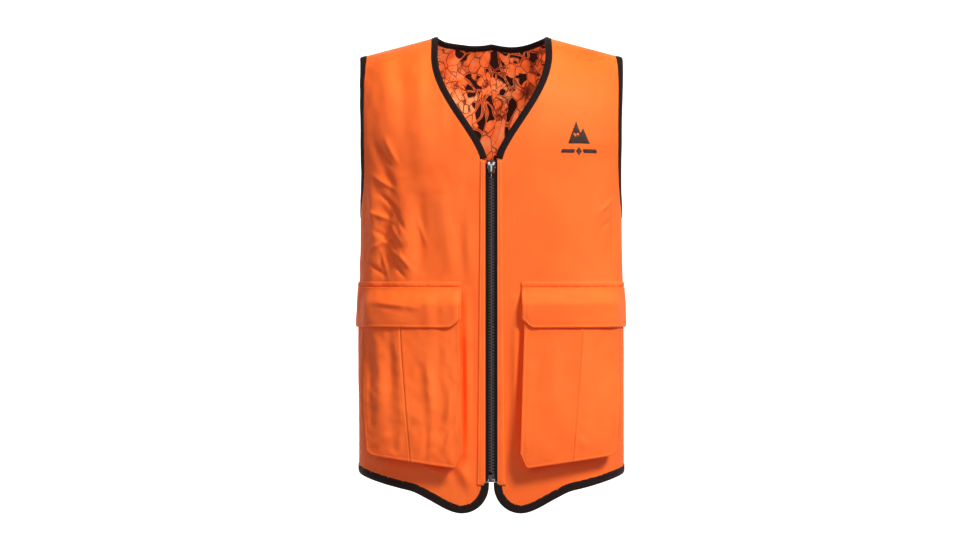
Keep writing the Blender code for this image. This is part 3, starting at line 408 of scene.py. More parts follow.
# %% Where the folds are
# (across, height) of both ends, width, height; across is negative on the wearer's right
SOFT_FOLDS = [
    ((-0.17, 0.735), (-0.152, 0.585), 0.016, 0.0018),
    ((-0.146, 0.745), (-0.128, 0.56), 0.014, -0.0018),
    ((-0.124, 0.7), (-0.102, 0.53), 0.018, 0.0014),
    ((-0.182, 0.56), (-0.146, 0.47), 0.009, -0.0036),
    ((-0.096, 0.745), (-0.084, 0.6), 0.012, -0.0026),
    ((-0.19, 0.5), (-0.186, 0.4), 0.013, 0.0052),
    ((-0.16, 0.47), (-0.166, 0.345), 0.015, -0.005),
    ((-0.138, 0.5), (-0.126, 0.36), 0.015, 0.0032),
    ((-0.106, 0.47), (-0.11, 0.35), 0.01, -0.003),
    ((-0.074, 0.48), (-0.062, 0.352), 0.014, 0.003),
    ((-0.046, 0.44), (-0.044, 0.345), 0.009, -0.0022),
    ((-0.036, 0.33), (-0.034, 0.09), 0.006, 0.0038),
    ((-0.026, 0.3), (-0.028, 0.12), 0.004, -0.002),
    ((-0.044, 0.27), (-0.04, 0.1), 0.004, -0.0022),
    ((-0.066, 0.052), (-0.12, 0.084), 0.009, 0.004),
    ((-0.03, 0.04), (-0.052, 0.075), 0.009, 0.0036),
    ((0.176, 0.72), (0.16, 0.56), 0.016, 0.0026),
    ((0.14, 0.74), (0.09, 0.56), 0.018, -0.002),
    ((0.108, 0.73), (0.056, 0.56), 0.016, 0.0016),
    ((0.18, 0.5), (0.13, 0.37), 0.02, 0.0026),
    ((0.196, 0.44), (0.19, 0.36), 0.012, -0.0034),
    ((0.036, 0.32), (0.034, 0.09), 0.006, 0.003),
    ((0.06, 0.055), (0.11, 0.078), 0.01, 0.003),
]
CREASES = [
    ((-0.184, 0.505), (-0.146, 0.482), 0.0035, 0.003),
    ((-0.176, 0.478), (-0.14, 0.448), 0.003, -0.0026),
    ((-0.196, 0.452), (-0.152, 0.436), 0.0035, 0.003),
    ((-0.158, 0.432), (-0.134, 0.402), 0.003, 0.0028),
    ((-0.186, 0.424), (-0.15, 0.398), 0.003, -0.003),
    ((-0.198, 0.392), (-0.152, 0.412), 0.0034, 0.0036),
    ((-0.176, 0.396), (-0.158, 0.352), 0.003, 0.0032),
    ((-0.166, 0.402), (-0.13, 0.376), 0.003, 0.003),
    ((-0.196, 0.372), (-0.166, 0.356), 0.0032, -0.0034),
    ((-0.158, 0.384), (-0.128, 0.35), 0.003, -0.003),
    ((-0.142, 0.392), (-0.118, 0.362), 0.0032, 0.0026),
    ((-0.15, 0.452), (-0.128, 0.42), 0.003, -0.0024),
    ((-0.16, 0.56), (-0.14, 0.52), 0.004, 0.0022),
    ((-0.178, 0.548), (-0.15, 0.516), 0.0036, -0.0026),
    ((-0.112, 0.44), (-0.098, 0.4), 0.0034, 0.0018),
    ((0.196, 0.47), (0.164, 0.448), 0.0036, 0.0022),
    ((0.198, 0.44), (0.17, 0.424), 0.0036, -0.002),
]
LOOSE_SIDE, SMOOTH_SIDE = 0.001, 0.0004
SOFT_DEPTH, CREASE_DEPTH = 1.3, 1.35


def front_folds(places):
    """Height of the folds over both fronts, before they fade at the seams."""
    loose = ease(-places[..., 0] / 0.04)
    total = soft_noise(places, (0.032, 0.1), 3) * mix(SMOOTH_SIDE, 2 * LOOSE_SIDE, loose)
    total += soft_noise(places, (0.012, 0.022), 5) * mix(SMOOTH_SIDE / 3, 0.7 * LOOSE_SIDE, loose)
    for start, end, width, height in SOFT_FOLDS:
        total += fold_line(places, start, end, width, height) * SOFT_DEPTH
    for start, end, width, height in CREASES:
        total += fold_line(places, start, end, width, height, sharp=True) * CREASE_DEPTH
    crumpled = loose * np.exp(-((np.abs(places[..., 0]) - 0.175) / 0.045) ** 2)
    crumpled = crumpled * np.exp(-((places[..., 1] - 0.41) / 0.075) ** 2)
    return total + soft_noise(places, (0.009, 0.012), 8) * 0.0019 * crumpled


def back_folds(places):
    """Long soft folds down the back, and a few drag lines from the shoulder blades."""
    total = soft_noise(places, (0.045, 0.16), 11) * 0.004
    total += soft_noise(places, (0.015, 0.03), 12) * 0.0008
    for side in (-1, 1):
        total += fold_line(places, (side * 0.16, 0.7), (side * 0.09, 0.45), 0.018, 0.0036)
        total += fold_line(places, (side * 0.19, 0.56), (side * 0.12, 0.4), 0.013, -0.0032)
        total += fold_line(places, (side * 0.055, 0.44), (side * 0.075, 0.12), 0.02, 0.004)
    return total


ZIP_STIFF_TO = 0.022
LOWEST_FOLD, HIGHEST_FOLD = -0.0075, 0.0085


def folds(face, places):
    """Fold height on either face. It is nothing at the zip, side seams and shoulder seams."""
    total = front_folds(places) if face == FRONT else back_folds(places)
    fade = ease((SIDE_SEAM - np.abs(places[..., 0])) / 0.03)
    fade = fade * ease((TOP[face] - places[..., 1]) / 0.045)
    if face == FRONT:
        fade = fade * ease((np.abs(places[..., 0]) - ZIP_STIFF_TO + 0.004) / 0.022)
    return np.clip(total, LOWEST_FOLD, HIGHEST_FOLD) * fade


def off_skin(face, places, out):
    """Points that stand a distance out from the bare skin."""
    return bare_skin(face, places) + skin_normal(face, places) * out[..., None]


def lay(face, places, lift=0.0):
    """Points of folded cloth: places on the skin, raised by a lift above its outer face."""
    places = np.asarray(places, float)
    return off_skin(face, places, folds(face, places) + lift)


sample = np.stack(np.meshgrid(np.linspace(-0.26, 0.26, 80), np.linspace(0.05, 0.7, 80)), -1)
print("fold heights in mm", np.round(1000 * np.percentile(folds(FRONT, sample), [0, 50, 100]), 1))

# %% [markdown]
# ## The outline of each panel
#
# The hem has a rounded tail beside the zip and a wave towards the side seam, the V neck bends gently, and
# the armhole is deepest in front of the arm. `offset_line` moves an edge sideways over the cloth by a
# true distance, for seams and stitch lines.


# %% Edges
def evenly(face, places, spacing):
    """The same line with a point about every spacing."""
    lengths = run_length(bare_skin(face, places))
    count = max(2, int(round(lengths[-1] / spacing)))
    wanted = np.linspace(0, lengths[-1], count + 1)
    return np.stack([np.interp(wanted, lengths, places[:, axis]) for axis in (0, 1)], -1)


def offset_line(face, places, distance, hold_first=None, hold_last=None):
    """Move a line to its left, seen in the flat cloth, by a distance on the body.
    hold_first and hold_last name the coordinate that an end keeps, so it stays on its seam."""
    along = np.gradient(places, axis=0)
    right, up = skin_slopes(face, np.clip(places, [-SIDE_SEAM + 3e-4, -1], [SIDE_SEAM - 3e-4, 9]))
    a, b, c = (right * right).sum(-1), (right * up).sum(-1), (up * up).sum(-1)
    ahead = right * along[:, :1] + up * along[:, 1:]
    sideways = np.cross(np.cross(right, up), ahead)
    sideways /= np.linalg.norm(sideways, axis=1, keepdims=True)
    p, q = (sideways * right).sum(-1), (sideways * up).sum(-1)
    shift = np.stack([c * p - b * q, a * q - b * p], -1) / (a * c - b * b)[:, None]
    moved = places + shift * distance
    for index, held in ((0, hold_first), (-1, hold_last)):
        if held is not None:
            moved[index, held] = places[index, held]
    return moved


FORWARD = math.atan2(ARMHOLE_HALF_WIDTH, ARMHOLE_REACH)


def armhole_edge(face):
    """From the underarm forward and up to the shoulder tip, on the +X side."""
    tip = spot(face, SHOULDER_HALF_WIDTH, SHOULDER_TIP - 1e-6)[0]
    bow = float(spot(face, ARMHOLE_HALF_WIDTH, UNDERARM + ARMHOLE_BOW)[1])
    forward = np.interp(FORWARD, GIRTH_ANGLES, GIRTH)
    turn = np.linspace(0, QUARTER, 40)
    angle = QUARTER - (QUARTER - FORWARD) * np.sin(turn)
    lower = np.stack([np.interp(angle, GIRTH_ANGLES, GIRTH), bow - (bow - UNDERARM) * np.cos(turn)], -1)
    share = np.linspace(0, 1, 40)[1:]
    upper = np.stack([mix(forward, tip, ease(share)), mix(bow, TOP[face], share)], -1)
    return evenly(face, np.concatenate([lower, upper]), 0.004)


V_FOOT_HALF_WIDTH = 0.0066


def neck_edge(face):
    """Front: from the foot of the V to the shoulder seam. Back: from the centre to it."""
    share = np.linspace(0, 1, 60)
    if face == BACK:
        corner = spot(BACK, NECK_HALF_WIDTH, HEIGHT - 1e-7)
        low = spot(BACK, 0.0, HEIGHT - BACK_NECK_DROP)[1]
        turn = share * QUARTER
        places = np.stack([corner[0] * np.sin(turn), TOP[BACK] - (TOP[BACK] - low) * np.cos(turn)], -1)
        return evenly(BACK, places, 0.004)
    height = mix(V_FOOT, HEIGHT - 1e-7, np.sin(share * QUARTER))
    turn = np.clip((height - V_FOOT) / (NECK_DROP * NECK_BEND), 0, 1) * QUARTER
    reach = (NECK_HALF_WIDTH - V_FOOT_HALF_WIDTH) * np.sin(turn) ** NECK_FULLNESS
    places = spot(FRONT, V_FOOT_HALF_WIDTH + reach, height)
    places[-1, 1] = TOP[FRONT]
    return evenly(FRONT, places, 0.004)


TAIL_REACH, TAIL_START, TAIL_RISE = 0.044, 0.0035, 0.042
HEM_WAVE_RISE, HEM_WAVE_WIDTH = 0.03, 0.08
HEM_SIDE_RISE, HEM_SIDE_START = 0.024, 0.1
BACK_HEM_HEIGHT = 0.03


def front_hem_height(x):
    tail = np.clip((TAIL_REACH - x) / (TAIL_REACH - TAIL_START), 0, 1)
    wave = HEM_WAVE_RISE * ease((x - TAIL_REACH) / HEM_WAVE_WIDTH)
    side = np.clip((x - HEM_SIDE_START) / (HIP_HALF_WIDTH - HEM_SIDE_START), 0, 1)
    rounded = TAIL_RISE * (1 - np.sqrt(1 - tail ** 2))
    return np.where(x < TAIL_REACH, rounded, wave + HEM_SIDE_RISE * side ** 1.3)


def hem_edge(face):
    """From the tail beside the zip, or from the centre back, to the side seam."""
    side_height = HEM_WAVE_RISE + HEM_SIDE_RISE
    if face == BACK:
        u = np.linspace(0, SIDE_SEAM, 80)
        share = section(angle_of(u), np.full(80, side_height))[0] / HIP_HALF_WIDTH
        return evenly(BACK, np.stack([u, mix(BACK_HEM_HEIGHT, side_height, share ** 2)], -1), 0.004)
    x = mix(TAIL_START, TAIL_REACH, np.sin(QUARTER * np.linspace(0, 1, 40)) ** 2)
    tail = spot(FRONT, x, front_hem_height(x))
    u = np.linspace(tail[-1, 0], SIDE_SEAM, 90)[1:]
    across = section(angle_of(u), np.full(89, side_height))[0]
    rest = np.stack([u, front_hem_height(across)], -1)
    return evenly(FRONT, np.concatenate([tail, rest]), 0.004)


ARMHOLE = {face: armhole_edge(face) for face in (FRONT, BACK)}
NECK = {face: neck_edge(face) for face in (FRONT, BACK)}
HEM = {face: hem_edge(face) for face in (FRONT, BACK)}
print("armhole, neck and hem points:", len(ARMHOLE[FRONT]), len(NECK[FRONT]), len(HEM[FRONT]))


# %% Seam lines under the bindings
BINDING_WIDTH, HEM_BINDING_WIDTH = 0.0105, 0.0125
TUCK = 0.0025

# the turn says on which side of the line the cloth lies
ARMHOLE_TURN, NECK_TURN, HEM_TURN = 1, -1, 1
NECK_IN, HEM_IN = (BINDING_WIDTH - TUCK) * NECK_TURN, (HEM_BINDING_WIDTH - TUCK) * HEM_TURN
armhole_seam = {face: offset_line(face, ARMHOLE[face], (BINDING_WIDTH - TUCK) * ARMHOLE_TURN, 0, 1)
                for face in (FRONT, BACK)}
neck_seam = {FRONT: offset_line(FRONT, NECK[FRONT], NECK_IN, None, 1),
             BACK: offset_line(BACK, NECK[BACK], NECK_IN, 0, 1)}
hem_seam = {FRONT: offset_line(FRONT, HEM[FRONT], HEM_IN, None, 0),
            BACK: offset_line(BACK, HEM[BACK], HEM_IN, 0, 0)}
for name, lines in (("armhole", armhole_seam), ("neck", neck_seam), ("hem", hem_seam)):
    print(name, "seam ends on the front at", np.round(lines[FRONT][0], 4), np.round(lines[FRONT][-1], 4))

# %% [markdown]
# ## Cutting and laying cloth
#
# A panel starts as a flat outline. `cut_panel` fills it with an even lattice of points, joins them into
# triangles that keep the outline exact, and lays every point on the body. An operator could not do this:
# the folds are a rule over the flat cloth, so the mesh comes from the same flat cloth. The flat places
# are kept as the UV map, in metres, so weave and print have their true scale. A Solidify modifier gives
# the cloth its thickness.


# %% Cloth kit
def inside_outline(points, outline):
    """Which points lie inside a closed outline."""
    x, y = points[:, 0, None], points[:, 1, None]
    x1, y1 = outline[:, 0], outline[:, 1]
    x2, y2 = np.roll(x1, -1), np.roll(y1, -1)
    crosses = (y1 > y) != (y2 > y)
    rise = np.where(y2 == y1, 1e-12, y2 - y1)
    hits = crosses & (x < (x2 - x1) * (y - y1) / rise + x1)
    return hits.sum(1) % 2 == 1


def near_outline(points, outline, distance):
    """Which points lie closer to the outline than a distance."""
    close = np.zeros(len(points), bool)
    ends = np.roll(outline, -1, axis=0)
    for first, last in zip(outline, ends):
        along = last - first
        share = np.clip(((points - first) @ along) / max(along @ along, 1e-18), 0, 1)
        gap = points - first - share[:, None] * along
        close |= (gap * gap).sum(1) < distance * distance
    return close


def flat_panel(outline, spacing):
    """Even triangles inside an outline: places and triangle corners."""
    low, high = outline.min(0), outline.max(0)
    rows = np.arange(low[1], high[1], spacing * 0.866)
    columns = np.arange(low[0], high[0] + spacing, spacing)
    grid = np.stack(np.meshgrid(columns, rows), -1)
    grid[1::2, :, 0] += spacing / 2
    grid = grid.reshape(-1, 2)
    grid = grid[inside_outline(grid, outline)]
    grid = grid[~near_outline(grid, outline, spacing * 0.55)]
    count = len(outline)
    points = [Vector(place) for place in np.concatenate([outline, grid])]
    edges = [(index, (index + 1) % count) for index in range(count)]
    made = delaunay_2d_cdt(points, edges, [], 1, 1e-7)
    return np.array([list(place) for place in made[0]]), [tuple(face) for face in made[2]]


def mesh_piece(name, points, faces, uv=None, material=None):
    """A smooth-shaded mesh object; uv holds one flat place for each point."""
    data = bpy.data.meshes.new(name)
    data.from_pydata([tuple(point) for point in points], [], faces)
    if uv is not None:
        layer = data.uv_layers.new(name="cut")
        corners = np.zeros(len(data.loops), int)
        data.loops.foreach_get("vertex_index", corners)
        layer.data.foreach_set("uv", np.asarray(uv, np.float32)[corners].ravel())
    data.polygons.foreach_set("use_smooth", [True] * len(data.polygons))
    piece = bpy.data.objects.new(name, data)
    scene.collection.objects.link(piece)
    if material:
        data.materials.append(material)
    return piece


def apply_modifiers(piece):
    select_only(piece)
    for modifier in list(piece.modifiers):
        bpy.ops.object.modifier_apply(modifier=modifier.name)


def thicken(piece, thickness):
    """Give a sheet its thickness, inwards from its outer face."""
    solid = piece.modifiers.new("thickness", "SOLIDIFY")
    solid.thickness = thickness
    solid.offset = -1
    apply_modifiers(piece)


def cut_panel(name, outline, spacing, laid, thickness, material, faces_out=1):
    """Cut a panel, lay it with a rule from flat places to points, and thicken it."""
    places, faces = flat_panel(outline, spacing)
    points = laid(places)
    if faces_out < 0:
        faces = [face[::-1] for face in faces]
    piece = mesh_piece(name, points, faces, places, material)
    thicken(piece, thickness)
    print(name, len(piece.data.polygons), "faces")
    return piece


def face_outwards(piece):
    """Turn a closed mesh so that its faces look outwards."""
    shape = bmesh.new()
    shape.from_mesh(piece.data)
    if shape.calc_volume(signed=True) < 0:
        bmesh.ops.reverse_faces(shape, faces=shape.faces)
    shape.to_mesh(piece.data)
    shape.free()


def grid_faces(columns, rows, side=1):
    """The four-cornered faces of a grid of points; side -1 turns them over."""
    index = np.arange(columns * rows).reshape(columns, rows)
    a, b = index[:-1, :-1].ravel(), index[1:, :-1].ravel()
    c, d = index[1:, 1:].ravel(), index[:-1, 1:].ravel()
    return np.stack([a, b, c, d] if side > 0 else [a, d, c, b], 1).tolist()


def grid_piece(name, points, flat, thickness, material, side=1):
    """A sheet from a grid of points (columns, rows, 3), with its flat places."""
    faces = grid_faces(*points.shape[:2], side)
    piece = mesh_piece(name, points.reshape(-1, 3), faces, flat.reshape(-1, 2), material)
    thicken(piece, thickness)
    face_outwards(piece)
    return piece


def mirrored(places, side):
    """The same places on the wearer's left (+1) or right (-1)."""
    return np.asarray(places) * (side, 1)


def closed_outline(*lines):
    """Join lines end to end into one outline, without repeated points."""
    joined = [np.asarray(lines[0][0])]
    for places in lines:
        for place in places:
            if np.linalg.norm(place - joined[-1]) > 4e-4:
                joined.append(np.asarray(place))
    if np.linalg.norm(joined[0] - joined[-1]) < 4e-4:
        joined.pop()
    return np.array(joined)


def straight(start, end, spacing=0.004):
    """A straight line of flat places."""
    start, end = np.asarray(start, float), np.asarray(end, float)
    count = max(2, int(round(np.linalg.norm(end - start) / spacing)))
    return start + (end - start) * np.linspace(0, 1, count + 1)[:, None]


# %% [markdown]
# ## Cloth finishes
#
# The shell is a plain-woven polyester in blaze orange. Its threads are under half a millimetre wide, so
# they are bump: two waves across the flat cloth, one for each thread direction. A fine noise breaks up
# the colour and the gloss, as yarn does, and a broad one lets the cloth look handled. A very weak
# emission stands in part for the fluorescent dye, and is in part painted light: a glow that fills the
# shadows of the cloth with deep red-orange.


# %% Material helpers
def node(material, kind, place=(0, 0), **values):
    """Add a node, and set its sockets by name."""
    made = material.node_tree.nodes.new(kind)
    made.location = place
    for name, value in values.items():
        socket = name.replace("_", " ")
        if socket in made.inputs:
            made.inputs[socket].default_value = value
        else:
            setattr(made, name, value)
    return made


def link(material, start, end):
    material.node_tree.links.new(start, end)


def principled(material):
    return material.node_tree.nodes["Principled BSDF"]


def math_node(material, operation, first, second=None):
    """A Math node whose inputs are sockets or numbers."""
    made = node(material, "ShaderNodeMath", operation=operation)
    for socket, value in zip(made.inputs, (first, second)):
        if value is None:
            continue
        if isinstance(value, (int, float)):
            socket.default_value = value
        else:
            link(material, value, socket)
    return made.outputs[0]


def mix_colour(material, share, first, second, blend="MIX"):
    """Mix two colours, each a socket or a plain colour."""
    made = node(material, "ShaderNodeMix", data_type="RGBA", blend_type=blend)
    for socket, value in ((made.inputs[0], share), (made.inputs[6], first), (made.inputs[7], second)):
        if isinstance(value, bpy.types.NodeSocket):
            link(material, value, socket)
        else:
            socket.default_value = (*value, 1) if isinstance(value, tuple) else value
    return made.outputs[2]


def ramp(material, value, stops):
    """A colour ramp over a value; stops are (place, colour)."""
    made = node(material, "ShaderNodeValToRGB")
    elements = made.color_ramp.elements
    while len(elements) < len(stops):
        elements.new(0.5)
    for element, (place, colour) in zip(elements, stops):
        element.position = place
        element.color = (*colour, 1)
    link(material, value, made.inputs[0])
    return made.outputs[0]


def noise(material, vector, scale, detail=2.0, roughness=0.5):
    made = node(material, "ShaderNodeTexNoise", Scale=scale, Detail=detail, Roughness=roughness)
    link(material, vector, made.inputs["Vector"])
    return made.outputs["Fac"]


def own_places(material):
    """Places in a hard piece, in metres."""
    return node(material, "ShaderNodeTexCoord").outputs["Object"]


def colour_by(material, value, stops):
    """Colour a material by a value, through a ramp."""
    link(material, ramp(material, value, stops), principled(material).inputs["Base Color"])


def flat_cloth(material):
    """The flat places of the cloth, in metres."""
    made = node(material, "ShaderNodeUVMap")
    made.uv_map = "cut"
    return made.outputs["UV"]


def thread_wave(material, vector, direction, pitch):
    """Ridges a pitch apart, across one direction of the cloth."""
    made = node(material, "ShaderNodeTexWave", bands_direction=direction, Scale=math.pi / 10 / pitch)
    made.inputs["Distortion"].default_value = 0.6
    made.inputs["Detail"].default_value = 1.0
    made.inputs["Detail Scale"].default_value = 3.0
    link(material, vector, made.inputs["Vector"])
    return made.outputs["Fac"]


def add_bump(material, height, distance, strength=1.0, below=None):
    """Bump from a height between 0 and 1, which stands for a distance in metres."""
    made = node(material, "ShaderNodeBump", Strength=strength, Distance=distance)
    link(material, height, made.inputs["Height"])
    if below is not None:
        link(material, below, made.inputs["Normal"])
    link(material, made.outputs["Normal"], principled(material).inputs["Normal"])
    return made.outputs["Normal"]


def set_range(material, value, low, high, socket):
    """Drive a socket between two values."""
    made = node(material, "ShaderNodeMapRange")
    made.inputs["To Min"].default_value = low
    made.inputs["To Max"].default_value = high
    link(material, value, made.inputs["Value"])
    link(material, made.outputs["Result"], socket)


# %% Shell cloth
BLAZE = (1.0, 0.19, 0.022)
BLAZE_DEEP = (0.95, 0.15, 0.012)
BLAZE_WORN = (1.0, 0.225, 0.038)


def shell_cloth(name, deep, plain, worn, thread=0.00042):
    """Plain-woven orange polyester."""
    made = new_material(name, plain, 0.62, specular=0.28)
    shader = principled(made)
    cloth = flat_cloth(made)
    broad = noise(made, cloth, 9.0, 3.0, 0.55)
    fine = noise(made, cloth, 900.0, 2.0, 0.6)
    tone = ramp(made, broad, [(0.2, deep), (0.5, plain), (0.85, worn)])
    slub = ramp(made, fine, [(0.3, (0.86, 0.84, 0.8)), (0.62, (1.0, 1.0, 1.0))])
    link(made, mix_colour(made, 1.0, tone, slub, "MULTIPLY"), shader.inputs["Base Color"])
    set_range(made, fine, 0.52, 0.72, shader.inputs["Roughness"])
    warp = thread_wave(made, cloth, "X", thread)
    weft = thread_wave(made, cloth, "Y", thread * 1.15)
    weave = math_node(made, "MULTIPLY", warp, weft)
    soft = add_bump(made, noise(made, cloth, 120.0, 3.0, 0.6), 0.0005, 0.5)
    add_bump(made, weave, 0.00012, 0.7, soft)
    shader.inputs["Sheen Weight"].default_value = 0.04
    shader.inputs["Sheen Roughness"].default_value = 0.4
    shader.inputs["Sheen Tint"].default_value = (1.0, 0.55, 0.3, 1)
    # a weak glow: in part the fluorescent dye, in part painted light that fills the shadows with deep
    # red-orange
    shader.inputs["Emission Color"].default_value = (1.0, 0.13, 0.01, 1)
    shader.inputs["Emission Strength"].default_value = 0.07
    return made


shell = shell_cloth("blaze_shell_cloth", BLAZE_DEEP, BLAZE, BLAZE_WORN)
print("shell threads 0.42 mm wide")

# %% [markdown]
# ## Lining print
#
# The lining is printed with scales and smears. Voronoi cells give a net of scales, a slow noise decides
# where the cells are filled dark, and a second one lays smoky patches over them. Both are warped, so
# that the net stretches and never repeats.


# %% Lining cloth
PRINT_GROUND = (1.0, 0.215, 0.05)
PRINT_LIGHT = (1.0, 0.42, 0.19)
PRINT_DARK = (0.03, 0.008, 0.006)
PRINT_SMOKE = (0.16, 0.026, 0.018)


def lining_cloth():
    made = new_material("printed_lining_cloth", PRINT_GROUND, 0.72, specular=0.2)
    cloth = flat_cloth(made)
    drift = node(made, "ShaderNodeTexNoise", Scale=14.0, Detail=2.0)
    link(made, cloth, drift.inputs["Vector"])
    shift = node(made, "ShaderNodeVectorMath", operation="SCALE")
    link(made, drift.outputs["Color"], shift.inputs[0])
    shift.inputs["Scale"].default_value = 0.055
    warped = node(made, "ShaderNodeVectorMath", operation="ADD")
    link(made, cloth, warped.inputs[0])
    link(made, shift.outputs[0], warped.inputs[1])
    stretch = node(made, "ShaderNodeMapping")
    stretch.inputs["Scale"].default_value = (1.0, 0.62, 1.0)
    stretch.inputs["Rotation"].default_value = (0, 0, math.radians(24))
    link(made, warped.outputs[0], stretch.inputs["Vector"])
    scales = stretch.outputs["Vector"]

    def cells(scale, feature):
        made_cells = node(made, "ShaderNodeTexVoronoi", feature=feature, Scale=scale)
        made_cells.inputs["Randomness"].default_value = 0.85
        link(made, scales, made_cells.inputs["Vector"])
        return made_cells

    net = cells(62.0, "DISTANCE_TO_EDGE").outputs["Distance"]
    fine_net = cells(150.0, "DISTANCE_TO_EDGE").outputs["Distance"]
    tint = cells(62.0, "F1").outputs["Color"]
    fill = math_node(made, "ADD", noise(made, cloth, 26.0, 2.0), math_node(made, "MULTIPLY", tint, 0.42))
    filled = ramp(made, fill, [(0.74, (0, 0, 0)), (0.77, (1, 1, 1))])
    gap = ramp(made, net, [(0.05, (0, 0, 0)), (0.085, (1, 1, 1))])
    dark_cell = math_node(made, "MULTIPLY", filled, gap)
    outline = ramp(made, net, [(0.022, (1, 1, 1)), (0.055, (0, 0, 0))])
    fine_area = ramp(made, noise(made, cloth, 15.0, 1.0), [(0.5, (0, 0, 0)), (0.56, (1, 1, 1))])
    fine_line = ramp(made, fine_net, [(0.03, (1, 1, 1)), (0.07, (0, 0, 0))])
    ground = ramp(made, noise(made, cloth, 22.0, 4.0, 0.6),
                  [(0.32, PRINT_SMOKE), (0.46, PRINT_GROUND), (0.68, PRINT_LIGHT)])
    colour = mix_colour(made, math_node(made, "MULTIPLY", outline, 0.75), ground, PRINT_SMOKE)
    fine_share = math_node(made, "MULTIPLY", math_node(made, "MULTIPLY", fine_area, fine_line), 0.8)
    colour = mix_colour(made, fine_share, colour, PRINT_DARK)
    colour = mix_colour(made, dark_cell, colour, PRINT_DARK)
    drifting = noise(made, warped.outputs[0], 11.0, 5.0, 0.62)
    smoke = ramp(made, drifting, [(0.54, (0, 0, 0)), (0.7, (1, 1, 1))])
    colour = mix_colour(made, math_node(made, "MULTIPLY", smoke, 0.88), colour, PRINT_DARK)
    link(made, colour, principled(made).inputs["Base Color"])
    # the print glows in its own colours: painted light that brightens the lining inside the vest
    link(made, colour, principled(made).inputs["Emission Color"])
    principled(made).inputs["Emission Strength"].default_value = 0.38
    weave = math_node(made, "MULTIPLY", thread_wave(made, cloth, "X", 0.00034),
                      thread_wave(made, cloth, "Y", 0.00038))
    add_bump(made, weave, 0.0001, 0.6)
    principled(made).inputs["Sheen Weight"].default_value = 0.1
    return made


lining = lining_cloth()


# %% Binding tape
def binding_tape():
    """A dark brown ribbed tape."""
    made = new_material("binding_tape", (0.02, 0.008, 0.007), 0.8, specular=0.2)
    cloth = flat_cloth(made)
    fleck = noise(made, cloth, 1400.0, 2.0)
    colour_by(made, fleck, [(0.35, (0.005, 0.002, 0.002)), (0.65, (0.018, 0.008, 0.007))])
    rib = math_node(made, "MULTIPLY", thread_wave(made, cloth, "X", 0.0007),
                    thread_wave(made, cloth, "Y", 0.0005))
    add_bump(made, rib, 0.00015, 0.8)
    principled(made).inputs["Sheen Weight"].default_value = 0.03
    return made


tape_cloth = binding_tape()
print("lining and binding finishes made")

# %% [markdown]
# ## Shell and lining panels
#
# Panel edges stop under the bindings, except at the side and shoulder seams, where two panels meet and
# dip into the seam.


# %% Front panels
SHELL_THICKNESS, LINING_THICKNESS = 0.001, 0.0008
LINING_DEPTH = 0.0024
ZIP_SLOT = 0.0092
LATTICE, BACK_LATTICE, LINING_LATTICE = 0.0031, 0.0048, 0.0055
SEAM_DIP, SEAM_DIP_WIDTH = 0.0011, 0.0022


def seam_dip(face, places):
    """How far cloth sinks where it meets its neighbour at the side and shoulder seams."""
    side = np.exp(-((SIDE_SEAM - np.abs(places[..., 0])) / SEAM_DIP_WIDTH) ** 2)
    shoulder = np.exp(-((TOP[face] - places[..., 1]) / SEAM_DIP_WIDTH) ** 2)
    return -SEAM_DIP * np.maximum(side, shoulder)


def front_outline():
    """Hem, side seam, armhole, shoulder, neck and the zip edge of the +X front."""
    hem, arm, neck = hem_seam[FRONT], armhole_seam[FRONT], neck_seam[FRONT]
    side_seam = straight(hem[-1], arm[0])
    shoulder = straight(arm[-1], neck[-1])
    down_neck = neck[::-1]
    foot = spot(FRONT, ZIP_SLOT, down_neck[-1][1] - 0.006)
    zip_edge = straight(foot, spot(FRONT, ZIP_SLOT, hem[0][1] + 0.004))
    return closed_outline(hem, side_seam, arm, shoulder, down_neck, zip_edge)


def back_outline():
    """The whole back, from its hem round both armholes."""
    half = closed_outline(hem_seam[BACK], straight(hem_seam[BACK][-1], armhole_seam[BACK][0]),
                          armhole_seam[BACK], straight(armhole_seam[BACK][-1], neck_seam[BACK][-1]),
                          neck_seam[BACK][::-1])
    other = mirrored(half[::-1], -1)
    return closed_outline(half, other)


FRONT_OUTLINE, BACK_OUTLINE = front_outline(), back_outline()


def bend_over_shoulder(piece):
    """Bake a piece's transform into its mesh; it is not bent, and it is not attached to any body."""
    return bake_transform(piece)


def shell_rule(face):
    return lambda places: lay(face, places, seam_dip(face, places))


def lining_rule(face):
    return lambda places: lay(face, places, -LINING_DEPTH + 0.3 * seam_dip(face, places))


words = {1: "left", -1: "right"}
shells, linings = {}, {}
for side, word in words.items():
    outline = mirrored(FRONT_OUTLINE, side)
    shells[side] = cut_panel("front_shell_cloth_" + word, outline, LATTICE, shell_rule(FRONT),
                             SHELL_THICKNESS, shell)
    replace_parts(shells[side], "front_shell_" + word)
    linings[side] = cut_panel("front_lining_cloth_" + word, outline, LINING_LATTICE, lining_rule(FRONT),
                              LINING_THICKNESS, lining)
    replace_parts(linings[side], "front_lining_" + word, "lining_facing_" + word)
    for panel in (shells[side], linings[side]):
        bend_over_shoulder(panel)
